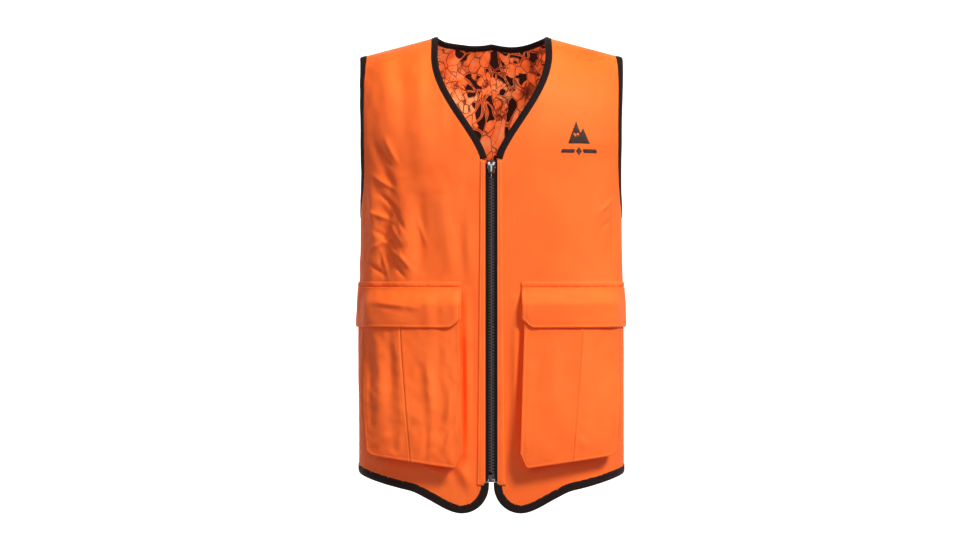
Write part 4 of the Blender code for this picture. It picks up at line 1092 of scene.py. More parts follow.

# %% [markdown]
# A tape of lining cloth covers each side seam on the inside. It crosses the seam, half on the back
# and half on the front, and is attached to neither.

# %% Side seam tapes
SEAM_TAPE_HALF, SEAM_TAPE_DEPTH, SEAM_TAPE_THICKNESS = 0.01, 0.0038, 0.0005
SEAM_TAPE_GAP, SEAM_TURN = 0.0003, 0.007
SEAM_TAPE_ROWS, SEAM_TAPE_COLUMNS = 150, 8
level = np.linspace(HEM[FRONT][-1][1] + 0.004, ARMHOLE[FRONT][0][1] - 0.002, SEAM_TAPE_ROWS)
inset = np.linspace(SEAM_TAPE_HALF, SEAM_TAPE_GAP, SEAM_TAPE_COLUMNS)
flat = np.stack(np.meshgrid(np.concatenate([-inset, inset[::-1]]), level, indexing="ij"), -1)
seam_tapes = []
for side, word in words.items():
    columns = []
    for face, insets in ((FRONT, inset), (BACK, inset[::-1])):
        for away in insets:
            line = np.stack([np.full(SEAM_TAPE_ROWS, side * (SIDE_SEAM - away)), level], -1)
            columns.append(lay(face, line, -SEAM_TAPE_DEPTH))
    piece = grid_piece("side_seam_tape_" + word, np.array(columns), flat, SEAM_TAPE_THICKNESS, lining)
    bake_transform(piece)
    seam_tapes.append(piece)
print("seam tapes", round(1000 * float(level[-1] - level[0])), "mm long")

# %% Back panels
back_shell = cut_panel("back_shell_cloth", BACK_OUTLINE, BACK_LATTICE, shell_rule(BACK),
                       SHELL_THICKNESS, shell, -1)
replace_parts(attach(back_shell, "back"), "back_shell")
back_lining = cut_panel("back_lining_cloth", BACK_OUTLINE, LINING_LATTICE, lining_rule(BACK),
                        LINING_THICKNESS, lining, -1)
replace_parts(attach(back_lining, "back"), "back_lining")

# %% [markdown]
# ## Bindings
#
# A binding is one long tape, folded round the raw edges of shell and lining and sewn down. Its mesh is a
# folded section, swept along the edge: it starts on the shell side, climbs over the edge and ends on
# the lining side.


# %% Bindings
STACK_MIDDLE = -0.0016
TAPE_THICKNESS = 0.0005
BINDING_SPACING = 0.003
RUFFLE = 0.0042
BINDING_STITCH_IN, BINDING_STITCH_LIFT = BINDING_WIDTH - 0.0014, 0.0009
HEM_STITCH_IN, HEM_STITCH_LIFT = HEM_BINDING_WIDTH - 0.0016, 0.001
HEM_PUCKER = 0.0007


def binding_section(width, puff=0.0):
    """Distance in from the edge and lift over the skin, round the folded tape."""
    outer = [(width, -0.0002), (width - 0.0008, 0.0006), (width - 0.0018, 0.0004 + puff * 0.3),
             (width * 0.55, 0.001 + puff), (width * 0.22, 0.0008), (0.0006, -0.0002), (0.0, STACK_MIDDLE)]
    inner = [(0.0006, -0.003), (width * 0.22, -0.004), (width * 0.6, -0.0043), (width - 0.001, -0.004),
             (width - 0.0002, -0.0034)]
    return outer + inner


def sweep_binding(name, face, edge, width, turn, pucker=0.0, seed=1, ends=(None, None)):
    """Sweep the folded tape along an edge; turn is the side on which the cloth lies."""
    edge = evenly(face, edge, BINDING_SPACING if not pucker else BINDING_SPACING * 0.6)
    flat = run_length(lay(face, edge))
    rings = []
    for inset, lift in binding_section(width):
        line = offset_line(face, edge, turn * inset, *ends)
        ruffle = pucker * soft_noise(np.stack([flat / RUFFLE, np.full(len(flat), inset * 90)], 1), 1.0, seed)
        rings.append(lay(face, line, lift + ruffle * (inset / width) * (1 if lift > STACK_MIDDLE else 0.3)))
    rings = np.array(rings)
    count, length = rings.shape[0], rings.shape[1]
    around = run_length(rings[:, length // 2])
    places = np.stack([np.broadcast_to(flat, (count, length)),
                       np.broadcast_to(around[:, None], (count, length))], -1)
    faces = grid_faces(count, length, -1)
    piece = mesh_piece(name, rings.reshape(-1, 3), faces, places.reshape(-1, 2), tape_cloth)
    middle = 3 * length + length // 2
    if piece.data.vertices[middle].normal.dot(Vector(skin_normal(face, edge)[length // 2])) < 0:
        piece.data.flip_normals()
    thicken(piece, TAPE_THICKNESS)
    return piece


SIDE_TO_SHOULDER, FREE_TO_SHOULDER, FREE_TO_SIDE = (0, 1), (None, 1), (None, 0)
stitch_lines = []
bound = []


def bind(kind, place, face, edge, side, turn, body, ends, pucker=0.0, seed=1):
    """Sweep one binding, attach it to its body (the front armhole and neck bindings stay unattached), and
    note the seam that is sewn along it.
    """
    hem = kind == "hem"
    width = HEM_BINDING_WIDTH if hem else BINDING_WIDTH
    inset, lift = (HEM_STITCH_IN, HEM_STITCH_LIFT) if hem else (BINDING_STITCH_IN, BINDING_STITCH_LIFT)
    piece = sweep_binding(kind + "_binding_cloth_" + place, face, edge, width, turn, pucker, seed, ends)
    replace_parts(piece, kind + "_binding_" + place)
    if body in words.values():
        bend_over_shoulder(piece)
    else:
        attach(piece, body)
    bound.append(piece)
    stitch_lines.append((face, edge, turn * inset, lift, side))


for side, word in words.items():
    for face, part, body in ((FRONT, "front_", word), (BACK, "back_", "back")):
        arm = mirrored(ARMHOLE[face], side)
        bind("armhole", part + word, face, arm, side, side, body, SIDE_TO_SHOULDER)
    bind("neck", word, FRONT, mirrored(NECK[FRONT], side), side, -side, word, FREE_TO_SHOULDER)
    tail_top = [[TAIL_START, TAIL_RISE + step] for step in (0.0044, 0.0022)]
    hem = mirrored(np.concatenate([tail_top, HEM[FRONT]]), side)
    bind("hem", word, FRONT, hem, side, side, "front_" + word, FREE_TO_SIDE, HEM_PUCKER, side + 5)
back_neck = np.concatenate([mirrored(NECK[BACK][::-1], -1), NECK[BACK][1:]])
bind("neck", "back", BACK, back_neck, 1, -1, "back", (1, 1))
back_hem = np.concatenate([mirrored(HEM[BACK][::-1], -1), HEM[BACK][1:]])
bind("hem", "back", BACK, back_hem, 1, 1, "back", (0, 0), HEM_PUCKER, 31)
print("bindings swept,", len(stitch_lines), "seams to sew")

# %% [markdown]
# ## Pieces laid on the fronts
#
# Facings, pockets, flaps and welts are patches, cut flat, turned under at the edges and topstitched down.
# Each is laid as a grid whose rows and columns follow its own cut, because its hems, ridges and stitch
# grooves run along its own edges and not round the body.


# %% Grid kit
def flat_grid(points, start=(0.0, 0.0)):
    """Flat places of a grid, measured along its middle column and row."""
    columns, rows = points.shape[:2]
    across = np.linalg.norm(np.diff(points, axis=0), axis=2).mean(1)
    along = np.linalg.norm(np.diff(points, axis=1), axis=2).mean(0)
    u = start[0] + np.concatenate([[0], np.cumsum(across)])
    v = start[1] + np.concatenate([[0], np.cumsum(along)])
    return np.stack(np.meshgrid(u, v, indexing="ij"), -1)


def groove(distance, place, width=0.0009, depth=0.0005):
    """How far a stitch line pulls the cloth in, at a distance from an edge."""
    return -depth * np.exp(-((distance - place) / width) ** 2)


def puckers(places, period, seed):
    """Small waves along a seam."""
    return soft_noise(places, (period, period * 2.4), seed)


def patch_folds(table, flat, wide):
    """Folds on a patch; their places across it are shares of its width."""
    return sum(fold_line(flat, (start[0] * wide, start[1]), (end[0] * wide, end[1]), width, high)
               for start, end, width, high in table)


# %% Zip facings
FACING_INNER, FACING_FOOT, FACING_TOP = 0.009, 0.0418, 0.5262
FACING_OUTER_TOP, FACING_OUTER_FOOT = 0.0165, 0.0215
FACING_ROWS, FACING_COLUMNS = 200, 12
TACK_HEIGHT, TACK_DEPTH = 0.389, 0.0009
facing_height = np.linspace(FACING_FOOT, FACING_TOP, FACING_ROWS)


def facing_outer(height):
    """How far the facing's outer edge lies from the centre; it widens towards the foot."""
    share = (height - FACING_FOOT) / (FACING_TOP - FACING_FOOT)
    return mix(FACING_OUTER_FOOT, FACING_OUTER_TOP, share ** 0.8)


facings = {}
for side, word in words.items():
    outer = facing_outer(facing_height)[None, :]
    x = mix(FACING_INNER, outer, np.linspace(0, 1, FACING_COLUMNS)[:, None])
    places = np.stack([x, np.broadcast_to(facing_height, x.shape)], -1)
    rise = places[..., 1]
    edge = np.minimum(outer - x, np.minimum(rise - FACING_FOOT, FACING_TOP - rise))
    lift = 0.001 + 0.0008 * ease(edge / 0.0016) + groove(edge, 0.0022) + groove(x - FACING_INNER, 0.0014)
    lift += 0.0003 * puckers(places, 0.0075, 40 + side) * ease(edge / 0.003)
    lift -= TACK_DEPTH * np.exp(-((rise - TACK_HEIGHT) / 0.0012) ** 2)
    points = lay(FRONT, mirrored(places, side), lift)
    facings[side] = grid_piece("zip_facing_cloth_" + word, points, flat_grid(points), 0.0009, shell, side)
    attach(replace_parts(facings[side], "zip_facing_" + word), "front_" + word)
print("zip facings", round(1000 * (FACING_TOP - FACING_FOOT)), "mm long")

# %% [markdown]
# ## Bellows pockets
#
# Each pocket is two cloth panels joined by a seam down the middle, held off the vest by a gusset that
# folds inwards like a bellows. The foot stands off further than the mouth, since the pocket hangs open
# there. Along its edges the face is pinched and stitched, which leaves a fine raised line.


# %% Pocket shape
POCKET_FOOT, POCKET_MOUTH = 0.068, 0.312
FOOT_DEPTH, MOUTH_DEPTH = 0.024, 0.009
INNER_FOOT, INNER_TOP = 0.042, 0.05
OUTER_FOOT, OUTER_TOP = math.radians(61), math.radians(70)
POCKET_SEAM_X = 0.126
POCKET_STEP = 0.0026


def pocket_foot(across):
    inner = np.clip(1 - across / 0.08, 0, 1) * 0.024
    outer = np.clip((across - 0.94) / 0.06, 0, 1) * 0.008
    return POCKET_FOOT + 0.02 * across + inner + outer


def foot_at(across):
    return float(pocket_foot(np.array(across)))


def pocket_share(height):
    return np.clip((height - POCKET_FOOT) / (POCKET_MOUTH - POCKET_FOOT), 0, 1)


def pocket_stand(across, height):
    """How far the face stands off; its outer edge lies closer at the mouth, under the flap."""
    share = pocket_share(height)
    near = 0.55 * ease((across - 0.66) / 0.34) * ease((share - 0.35) / 0.6)
    return mix(FOOT_DEPTH, MOUTH_DEPTH, ease(share)) * (1 - near)


def pocket_u(across, height):
    share = pocket_share(height)
    inner = spot(FRONT, mix(INNER_FOOT, INNER_TOP, share), height)[..., 0]
    outer = np.interp(mix(OUTER_FOOT, OUTER_TOP, share), GIRTH_ANGLES, GIRTH)
    return mix(inner, outer, across)


def pocket_places(across, height):
    return np.stack([pocket_u(across, height), height], -1)


middle = (POCKET_FOOT + POCKET_MOUTH) / 2
seam_u = spot(FRONT, POCKET_SEAM_X, middle)[0]
POCKET_SEAM = float((seam_u - pocket_u(0.0, middle)) / (pocket_u(1.0, middle) - pocket_u(0.0, middle)))
POCKET_WIDE = float(pocket_u(1.0, middle) - pocket_u(0.0, middle))
print("pocket", round(1000 * POCKET_WIDE), "mm wide, its seam at", round(POCKET_SEAM, 3), "of the width")

# (across, height) of both ends, width, height; the wearer's right pocket is the crumpled one
POCKET_CREASES = {
    -1: [((0.1, 0.13), (0.2, 0.09), 0.004, 0.0022), ((0.16, 0.15), (0.3, 0.12), 0.0045, -0.002),
         ((0.08, 0.19), (0.16, 0.13), 0.005, 0.002), ((0.2, 0.26), (0.24, 0.15), 0.006, -0.0018),
         ((0.32, 0.24), (0.3, 0.12), 0.0055, 0.0018), ((0.36, 0.13), (0.4, 0.085), 0.004, -0.002),
         ((0.28, 0.1), (0.38, 0.082), 0.0035, 0.0018), ((0.56, 0.26), (0.6, 0.14), 0.006, 0.002),
         ((0.66, 0.28), (0.7, 0.16), 0.006, -0.0024), ((0.8, 0.28), (0.78, 0.12), 0.007, 0.0024),
         ((0.72, 0.12), (0.9, 0.1), 0.0045, 0.002), ((0.9, 0.25), (0.92, 0.13), 0.005, -0.002),
         ((0.52, 0.14), (0.62, 0.095), 0.004, -0.0018), ((0.84, 0.16), (0.95, 0.13), 0.004, -0.0016)],
    1: [((0.3, 0.27), (0.34, 0.12), 0.01, 0.0012), ((0.16, 0.25), (0.12, 0.14), 0.008, -0.001),
        ((0.7, 0.27), (0.74, 0.12), 0.01, -0.0012), ((0.56, 0.12), (0.7, 0.095), 0.005, 0.001)],
}


def pocket_puff(side, across, height):
    """Folds of a pocket's face."""
    flat = np.stack([across * POCKET_WIDE, height], -1)
    loose = 1.0 if side < 0 else 0.35
    total = soft_noise(flat, (0.02, 0.035), 60 + side) * 0.0016 * loose
    total += soft_noise(flat, (0.009, 0.012), 62 + side) * 0.0008 * loose
    return total + patch_folds(POCKET_CREASES[side], flat, POCKET_WIDE) * CREASE_DEPTH


def pocket_face(side, across, height, lift=0.0):
    """Points on the pocket's face, with its edge ridge, stitch grooves, seam and puff."""
    edge_in = across * POCKET_WIDE
    edge_out = (1 - across) * POCKET_WIDE
    edge_foot = height - pocket_foot(across)
    edge = np.minimum(np.minimum(edge_in, edge_out), edge_foot)
    seam = np.abs(across - POCKET_SEAM) * POCKET_WIDE
    raised = 0.0012 * np.exp(-(edge / 0.0013) ** 2) + groove(edge, 0.0032, 0.0011, 0.0007)
    raised += groove(edge_in, 0.0125, 0.001, 0.0005)
    raised += 0.0015 * np.exp(-((seam - 0.0012) / 0.0014) ** 2)
    raised += groove(seam, 0.004, 0.0009, 0.0006)
    flat = np.stack([across * POCKET_WIDE, height], -1)
    raised += 0.0005 * puckers(flat, 0.006, 70 + side) * np.exp(-((edge - 0.004) / 0.006) ** 2)
    quiet = ease(edge / 0.014) * ease((POCKET_MOUTH - height) / 0.03)
    raised += pocket_puff(side, across, height) * quiet * mix(0.4, 1.0, ease(seam / 0.008))
    places = mirrored(pocket_places(across, height), side)
    return off_skin(FRONT, places, pocket_stand(across, height) + raised + lift)


# %% Pocket faces and mouth hems
POCKET_CLOTH, GUSSET_CLOTH = 0.001, 0.0009
SEAM_HALF = 0.0001 / POCKET_WIDE
HEM_FOOT = POCKET_MOUTH - 0.02
FACE_ROWS, HEM_ROWS = 90, 10
pockets = []


def pocket_grid(start, end, foot, top, rows):
    """Even places over a stretch of the pocket, from a foot rule up to a height."""
    columns = max(3, int((end - start) * POCKET_WIDE / POCKET_STEP))
    across = np.linspace(start, end, columns)[:, None] + np.zeros((1, rows))
    low = foot(across)
    return across, low + (top - low) * np.linspace(0, 1, rows)[None, :]


def keep_pocket(piece, stands_for, word):
    """Give a pocket piece its part and body."""
    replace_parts(piece, stands_for + "_" + word)
    pockets.append(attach(piece, "front_" + word))


def pocket_panels(side, word):
    """The two cloths of the face, either side of the middle seam."""
    halves = ("inner", 0.0, POCKET_SEAM - SEAM_HALF), ("outer", POCKET_SEAM + SEAM_HALF, 1.0)
    for part, start, end in halves:
        across, height = pocket_grid(start, end, pocket_foot, HEM_FOOT - 0.0002, FACE_ROWS)
        points = pocket_face(side, across, height)
        piece = grid_piece("pocket_" + part + "_cloth_" + word, points, flat_grid(points, (0.01, 0.01)),
                           POCKET_CLOTH, shell, side)
        keep_pocket(piece, "pocket_panel_" + part, word)


def mouth_hem(side, word):
    """The band turned under along the mouth."""
    across, height = pocket_grid(0.0, 1.0, lambda share: HEM_FOOT + 0 * share, POCKET_MOUTH, HEM_ROWS)
    ridge = 0.0005 * ease((height - HEM_FOOT) / 0.002)
    points = pocket_face(side, across, height, ridge + groove(height - HEM_FOOT, 0.002))
    piece = grid_piece("pocket_mouth_hem_cloth_" + word, points, flat_grid(points),
                       POCKET_CLOTH, shell, side)
    keep_pocket(piece, "pocket_mouth_hem", word)


# %% Gussets
GUSSET_SIDE_ROWS, GUSSET_FOOT_ROWS, GUSSET_COLUMNS = 70, 90, 12
GUSSET_TUCK = 0.0065
RIM_DEPTH, ROOT_LIFT = 0.0011, 0.0008


def gusset_line():
    """The pocket's edge: down from the mouth, along the foot and up again."""
    rows = GUSSET_SIDE_ROWS
    down = np.stack([np.zeros(rows), np.linspace(POCKET_MOUTH, foot_at(0.0), rows)], -1)
    under = np.linspace(0.0, 1.0, GUSSET_FOOT_ROWS)[1:-1]
    foot = np.stack([under, pocket_foot(under)], -1)
    rise = np.stack([np.ones(rows), np.linspace(foot_at(1.0), POCKET_MOUTH, rows)], -1)
    return np.concatenate([down, foot, rise])


def gusset(side, word):
    """The wall between shell and face, tucked inwards like a bellows."""
    line = gusset_line()
    share = np.linspace(0, 1, GUSSET_COLUMNS)
    across, height = line[:, :1] + 0 * share, line[:, 1:] + 0 * share
    tuck = GUSSET_TUCK * np.sin(math.pi * share) ** 1.2 * (pocket_stand(across, height) / FOOT_DEPTH)
    at_side = (across < 0.001) | (across > 0.999)
    towards = np.sign(0.5 - across) * np.where(at_side, 1, 0)
    across = across + towards * tuck / POCKET_WIDE
    lower = np.where(towards == 0, 1, np.clip((line[:, 1:] < POCKET_FOOT + 0.03) * 0.5, 0, 1))
    height = np.minimum(height + tuck * lower, POCKET_MOUTH)
    places = mirrored(pocket_places(across, height), side)
    rim = off_skin(FRONT, places, pocket_stand(across, height))
    points = mix(lay(FRONT, places, ROOT_LIFT), rim, share[None, :, None])
    points[:, -1] = pocket_face(side, line[:, 0], line[:, 1], -RIM_DEPTH)
    piece = grid_piece("pocket_gusset_cloth_" + word, points, flat_grid(points), GUSSET_CLOTH, shell, -side)
    keep_pocket(piece, "pocket_gusset", word)


for side, word in words.items():
    pocket_panels(side, word)
    mouth_hem(side, word)
    gusset(side, word)

# %% Loop tapes on the pocket mouths
LOOP_HALF_WIDTH, LOOP_MIDDLE, LOOP_HALF_HEIGHT = 0.028, 0.302, 0.007
loops = []
for side, word in words.items():
    reach = LOOP_HALF_WIDTH / POCKET_WIDE
    across, height = np.meshgrid(np.linspace(POCKET_SEAM - reach, POCKET_SEAM + reach, 28),
                                 LOOP_MIDDLE + LOOP_HALF_HEIGHT * np.linspace(-1, 1, 8), indexing="ij")
    points = pocket_face(side, across, height, 0.002)
    piece = grid_piece("loop_tape_cloth_" + word, points, flat_grid(points), 0.001, shell, side)
    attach(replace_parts(piece, "loop_tape_" + word), "front_" + word)
    loops.append(piece)
print(len(pockets), "pocket pieces,", len(loops), "loop tapes")

# %% [markdown]
# ## Flaps and welts
#
# A flap is two layers of shell cloth, turned out and topstitched round its edge. It hangs from a narrow
# stitched band, the welt, whose cloth stands up between its two stitch lines like a fine rope.

# %% Flaps and welts
FLAP_TOP_HEIGHT, FLAP_FOOT_HEIGHT, FLAP_INNER = 0.337, 0.2765, 0.0446
FLAP_OUTER_U = float(np.interp(math.radians(83), GIRTH_ANGLES, GIRTH))
FLAP_CHAMFER, FLAP_CHAMFER_WIDTH = 0.0135, 0.017
FLAP_OVER_POCKET, FLAP_AT_SHELL = 0.0139, 0.0024
LOWEST_FLAP_FOLD = -0.0008
FLAP_INNER_U = float(spot(FRONT, FLAP_INNER, FLAP_TOP_HEIGHT)[0])
FLAP_WIDE = FLAP_OUTER_U - FLAP_INNER_U
WELT_TOP = 0.3452
FLAP_FOLDS = {
    -1: [((0.06, 0.334), (0.05, 0.285), 0.006, 0.0014), ((0.15, 0.334), (0.18, 0.29), 0.006, -0.0018),
         ((0.25, 0.33), (0.22, 0.285), 0.007, 0.0016), ((0.36, 0.334), (0.4, 0.292), 0.006, -0.0014),
         ((0.34, 0.3), (0.62, 0.308), 0.004, -0.0012), ((0.3, 0.306), (0.6, 0.314), 0.004, 0.002),
         ((0.5, 0.332), (0.48, 0.312), 0.008, 0.0016),
         ((0.7, 0.334), (0.66, 0.285), 0.008, 0.0018), ((0.82, 0.334), (0.86, 0.29), 0.007, -0.0016)],
    1: [((0.3, 0.332), (0.34, 0.29), 0.012, 0.0008), ((0.62, 0.332), (0.6, 0.29), 0.014, -0.001),
        ((0.03, 0.322), (0.03, 0.288), 0.006, 0.0016)],
}
flaps, welts = {}, {}


def flap_points(side, across, share, lift=0.0):
    """Points on a flap's outer face, from its foot (share 0) to its top (1)."""
    inner = np.clip(across * FLAP_WIDE / FLAP_CHAMFER_WIDTH, 0, 1)
    foot = FLAP_FOOT_HEIGHT + FLAP_CHAMFER * (1 - inner)
    height = mix(foot, FLAP_TOP_HEIGHT, share)
    u = FLAP_INNER_U + across * FLAP_WIDE
    over = 1 - ease((np.degrees(angle_of(u)) - 60) / 14)
    drop = ease((FLAP_TOP_HEIGHT - height) / (FLAP_TOP_HEIGHT - FLAP_FOOT_HEIGHT) * 2.2)
    stand = mix(FLAP_AT_SHELL, FLAP_OVER_POCKET, drop * mix(0.12, 1.0, over))
    diagonal = (across * FLAP_WIDE + (height - FLAP_FOOT_HEIGHT) - FLAP_CHAMFER) * 0.78
    edge = np.minimum(np.minimum(across, 1 - across) * FLAP_WIDE, height - FLAP_FOOT_HEIGHT)
    edge = np.clip(np.minimum(edge, diagonal), 0, 1)
    flat = np.stack([across * FLAP_WIDE, height], -1)
    raised = -0.001 * (1 - ease(edge / 0.0016)) + groove(edge, 0.005, 0.0012, 0.0007)
    raised += 0.0004 * puckers(flat, 0.008, 80 + side) * np.exp(-((edge - 0.003) / 0.004) ** 2)
    loose = 1.0 if side < 0 else 0.4
    quiet = ease((FLAP_TOP_HEIGHT - height) / 0.008)
    raised += soft_noise(flat, (0.016, 0.022), 90 + side) * 0.0009 * loose * quiet
    raised += patch_folds(FLAP_FOLDS[side], flat, FLAP_WIDE) * quiet
    raised = np.where(edge > 0.007, np.maximum(raised, LOWEST_FLAP_FOLD), raised)
    return off_skin(FRONT, mirrored(np.stack([u, height], -1), side), stand + raised + lift)


def flap(side, word):
    """A flap of doubled cloth, with extra rows and columns where its edges turn under."""
    across = np.unique(np.concatenate([np.linspace(0, 1, 84), [0.004, 0.008, 0.992, 0.996]]))[:, None]
    share = np.unique(np.concatenate([np.linspace(0, 1, 30), [0.008, 0.018, 0.05]]))[None, :]
    points = flap_points(side, *np.broadcast_arrays(across, share))
    piece = grid_piece("pocket_flap_cloth_" + word, points, flat_grid(points), 0.0016, shell, side)
    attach(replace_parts(piece, "pocket_flap_" + word), "flap_" + word)
    return piece


def welt(side, word):
    """The band over a flap, which stands up between its stitch lines like a fine rope."""
    across, rise = np.broadcast_arrays(np.linspace(0, 1, 220)[:, None], np.linspace(0, 1, 9)[None, :])
    flat = np.stack([FLAP_INNER_U + across * FLAP_WIDE, mix(FLAP_TOP_HEIGHT, WELT_TOP, rise)], -1)
    rope = 1 + 0.3 * soft_noise(flat, (0.0042, 0.02), 100 + side)
    lift = 0.0009 + 0.0013 * np.sin(math.pi * np.clip(rise, 0.02, 0.98)) ** 0.7 * rope
    points = lay(FRONT, mirrored(flat, side), lift)
    piece = grid_piece("flap_welt_cloth_" + word, points, flat_grid(points), 0.0008, shell, side)
    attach(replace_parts(piece, "flap_welt_" + word), "front_" + word)
    return piece


for side, word in words.items():
    flaps[side] = flap(side, word)
    welts[side] = welt(side, word)
print("flaps", round(1000 * FLAP_WIDE), "mm wide")

# %% [markdown]
# ## Stitches
#
# Every seam is a lockstitch of about three millimetres. Each stitch is a short thread that dives into the
# cloth at both ends: a little capsule, repeated along the seam, so a close view still shows thread.


# %% Stitch kit
STITCH_PITCH, STITCH_LENGTH, STITCH_RADIUS = 0.0032, 0.0025, 0.0003
STITCH_RINGS = [(-0.5, 0.3, -0.5), (-0.34, 0.9, 0.15), (0.0, 1.0, 0.5), (0.34, 0.9, 0.15), (0.5, 0.3, -0.5)]
STITCH_SIDES = 6
stitched = {}


def tube_faces(rings, sides, first=0):
    """Faces of a capped tube, whose rings of points follow one another."""
    faces = []
    for ring in range(rings - 1):
        low, high = first + ring * sides, first + (ring + 1) * sides
        for step in range(sides):
            other = (step + 1) % sides
            faces.append((low + step, low + other, high + other, high + step))
    last = first + (rings - 1) * sides
    faces.append(tuple(range(first, first + sides))[::-1])
    faces.append(tuple(range(last, last + sides)))
    return faces


def sew(points, normals, group, pitch=STITCH_PITCH, radius=STITCH_RADIUS, length=STITCH_LENGTH):
    """Place stitches along a line of points and keep them under a group name."""
    run = run_length(points)
    count = int(run[-1] / pitch)
    if count < 1:
        return
    places = (np.arange(count) + 0.5) * run[-1] / count

    def at(distance, values):
        return np.stack([np.interp(distance, run, values[:, axis]) for axis in range(3)], -1)

    middle = at(places, points)
    ahead = at(places + length / 2, points) - at(places - length / 2, points)
    ahead /= np.linalg.norm(ahead, axis=1, keepdims=True)
    up = at(places, normals)
    up -= (up * ahead).sum(1, keepdims=True) * ahead
    up /= np.linalg.norm(up, axis=1, keepdims=True)
    beside = np.cross(ahead, up)
    rings = []
    for along, wide, high in STITCH_RINGS:
        for step in range(STITCH_SIDES):
            turn = 2 * math.pi * step / STITCH_SIDES
            rings.append(middle + ahead * along * length
                         + beside * math.cos(turn) * radius * wide
                         + up * (math.sin(turn) * wide + high) * radius)
    stitched.setdefault(group, []).append(np.stack(rings, 1))


def finish_stitches(group, material, body):
    """One mesh for all the stitches of a group, attached to its body; with left or right as body it stays
    unattached.
    """
    stitches = np.concatenate(stitched[group])
    count, each = stitches.shape[:2]
    faces = []
    for index in range(count):
        faces += tube_faces(len(STITCH_RINGS), STITCH_SIDES, index * each)
    piece = mesh_piece("stitches_" + group, stitches.reshape(-1, 3), faces, None, material)
    face_outwards(piece)
    if body in words.values():
        bend_over_shoulder(piece)
    else:
        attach(piece, body)
    print(piece.name, count, "stitches")
    return piece


def sew_on_skin(face, places, lift, group, **sizes):
    """Sew along a line of flat places."""
    places = evenly(face, places, 0.0016)
    sew(lay(face, places, lift), skin_normal(face, places), group, **sizes)


# %% [markdown]
# Dark thread holds the bindings, and orange thread everything else. The stitches of the front groups, on the
# facings, panels, welts and front bindings, stay unattached; the others ride on their own body.

# %% Sewing the bindings
THREAD_SINK = 0.0003
for face, edge, shift, lift, side in stitch_lines:
    line = offset_line(face, edge, shift)[2:-2]
    group = "binding_back" if face == BACK else "binding_front_" + words[side]
    sew_on_skin(face, line, lift - THREAD_SINK, group)
print("binding seams sewn:", len(stitch_lines))


# %% Sewing the fronts and the back
SEAM_STITCH_IN, SHOULDER_STITCH_IN = 0.0065, 0.006
FACING_STITCH_LIFT, PANEL_STITCH_LIFT, WELT_STITCH_LIFT = 0.0013, -0.0002, 0.0009
FACING_STITCH_OUT, FACING_STITCH_IN = 0.0022, 0.0014


def sew_facing(side, group):
    """Two seams up a facing, and one across each of its ends."""
    height = np.linspace(FACING_FOOT + 0.0015, FACING_TOP - 0.0015, 300)
    outer = facing_outer(height)
    for x in (outer - FACING_STITCH_OUT, np.full(300, FACING_INNER + FACING_STITCH_IN)):
        sew_on_skin(FRONT, mirrored(np.stack([x, height], -1), side), FACING_STITCH_LIFT, group)
    for level, wide in ((FACING_FOOT + 0.0022, outer[0]), (FACING_TOP - 0.0022, outer[-1])):
        line = straight((FACING_INNER + 0.001, level), (wide - 0.003, level), 0.001)
        sew_on_skin(FRONT, mirrored(line, side), FACING_STITCH_LIFT, group)


def sew_panel(face, side, group):
    """Topstitching beside the side seam and the shoulder seam."""
    low, high = HEM[face][-1][1] + HEM_BINDING_WIDTH, ARMHOLE[face][0][1] - BINDING_WIDTH
    at_side, at_top = SIDE_SEAM - SEAM_STITCH_IN, TOP[face] - SHOULDER_STITCH_IN
    near, far = NECK[face][-1][0] + BINDING_WIDTH, ARMHOLE[face][-1][0] - BINDING_WIDTH
    for line in (straight((at_side, low), (at_side, high)), straight((near, at_top), (far, at_top))):
        sew_on_skin(face, mirrored(line, side), PANEL_STITCH_LIFT, group)


def sew_welt(side, group):
    for level in (FLAP_TOP_HEIGHT + 0.0003, WELT_TOP - 0.0002):
        line = straight((FLAP_INNER_U + 0.002, level), (FLAP_OUTER_U - 0.002, level))
        sew_on_skin(FRONT, mirrored(line, side), WELT_STITCH_LIFT, group)


# %% Sewing the flaps and the pockets
FLAP_STITCH_IN, POCKET_STITCH_IN, FOLD_STITCH_IN, SEAM_STITCH_SIDE = 0.005, 0.0032, 0.0125, 0.004
PATCH_SINK = -0.0001
DOWN_COUNT, ALONG_COUNT = 40, 160


def sew_flap(side, word):
    """One seam down the flap's inner end, round its corner and along its foot."""
    start = FLAP_STITCH_IN / FLAP_WIDE
    across = np.concatenate([np.full(DOWN_COUNT, start), np.linspace(start, 1, ALONG_COUNT)[1:-1]])
    inner = np.clip((across * FLAP_WIDE - 0.001) / FLAP_CHAMFER_WIDTH, 0, 1)
    height = FLAP_FOOT_HEIGHT + FLAP_CHAMFER * (1 - inner) + FLAP_STITCH_IN + 0.0002
    height[:DOWN_COUNT] = np.linspace(FLAP_TOP_HEIGHT - 0.002, height[DOWN_COUNT], DOWN_COUNT)
    chamfer = 1 - np.clip(across * FLAP_WIDE / FLAP_CHAMFER_WIDTH, 0, 1)
    foot = FLAP_FOOT_HEIGHT + FLAP_CHAMFER * chamfer
    points = flap_points(side, across, (height - foot) / (FLAP_TOP_HEIGHT - foot), PATCH_SINK)
    places = mirrored(np.stack([FLAP_INNER_U + across * FLAP_WIDE, height], -1), side)
    sew(points, skin_normal(FRONT, places), "flap_" + word)


def sew_pocket(side, word, across, height):
    """One seam over the pocket's face."""
    places = mirrored(pocket_places(across, height), side)
    sew(pocket_face(side, across, height, PATCH_SINK), skin_normal(FRONT, places), "pocket_" + word)


def sew_pocket_down(side, word, across, low):
    """A seam from the mouth hem down to a height."""
    sew_pocket(side, word, np.full(ALONG_COUNT, across), np.linspace(HEM_FOOT, low, ALONG_COUNT))


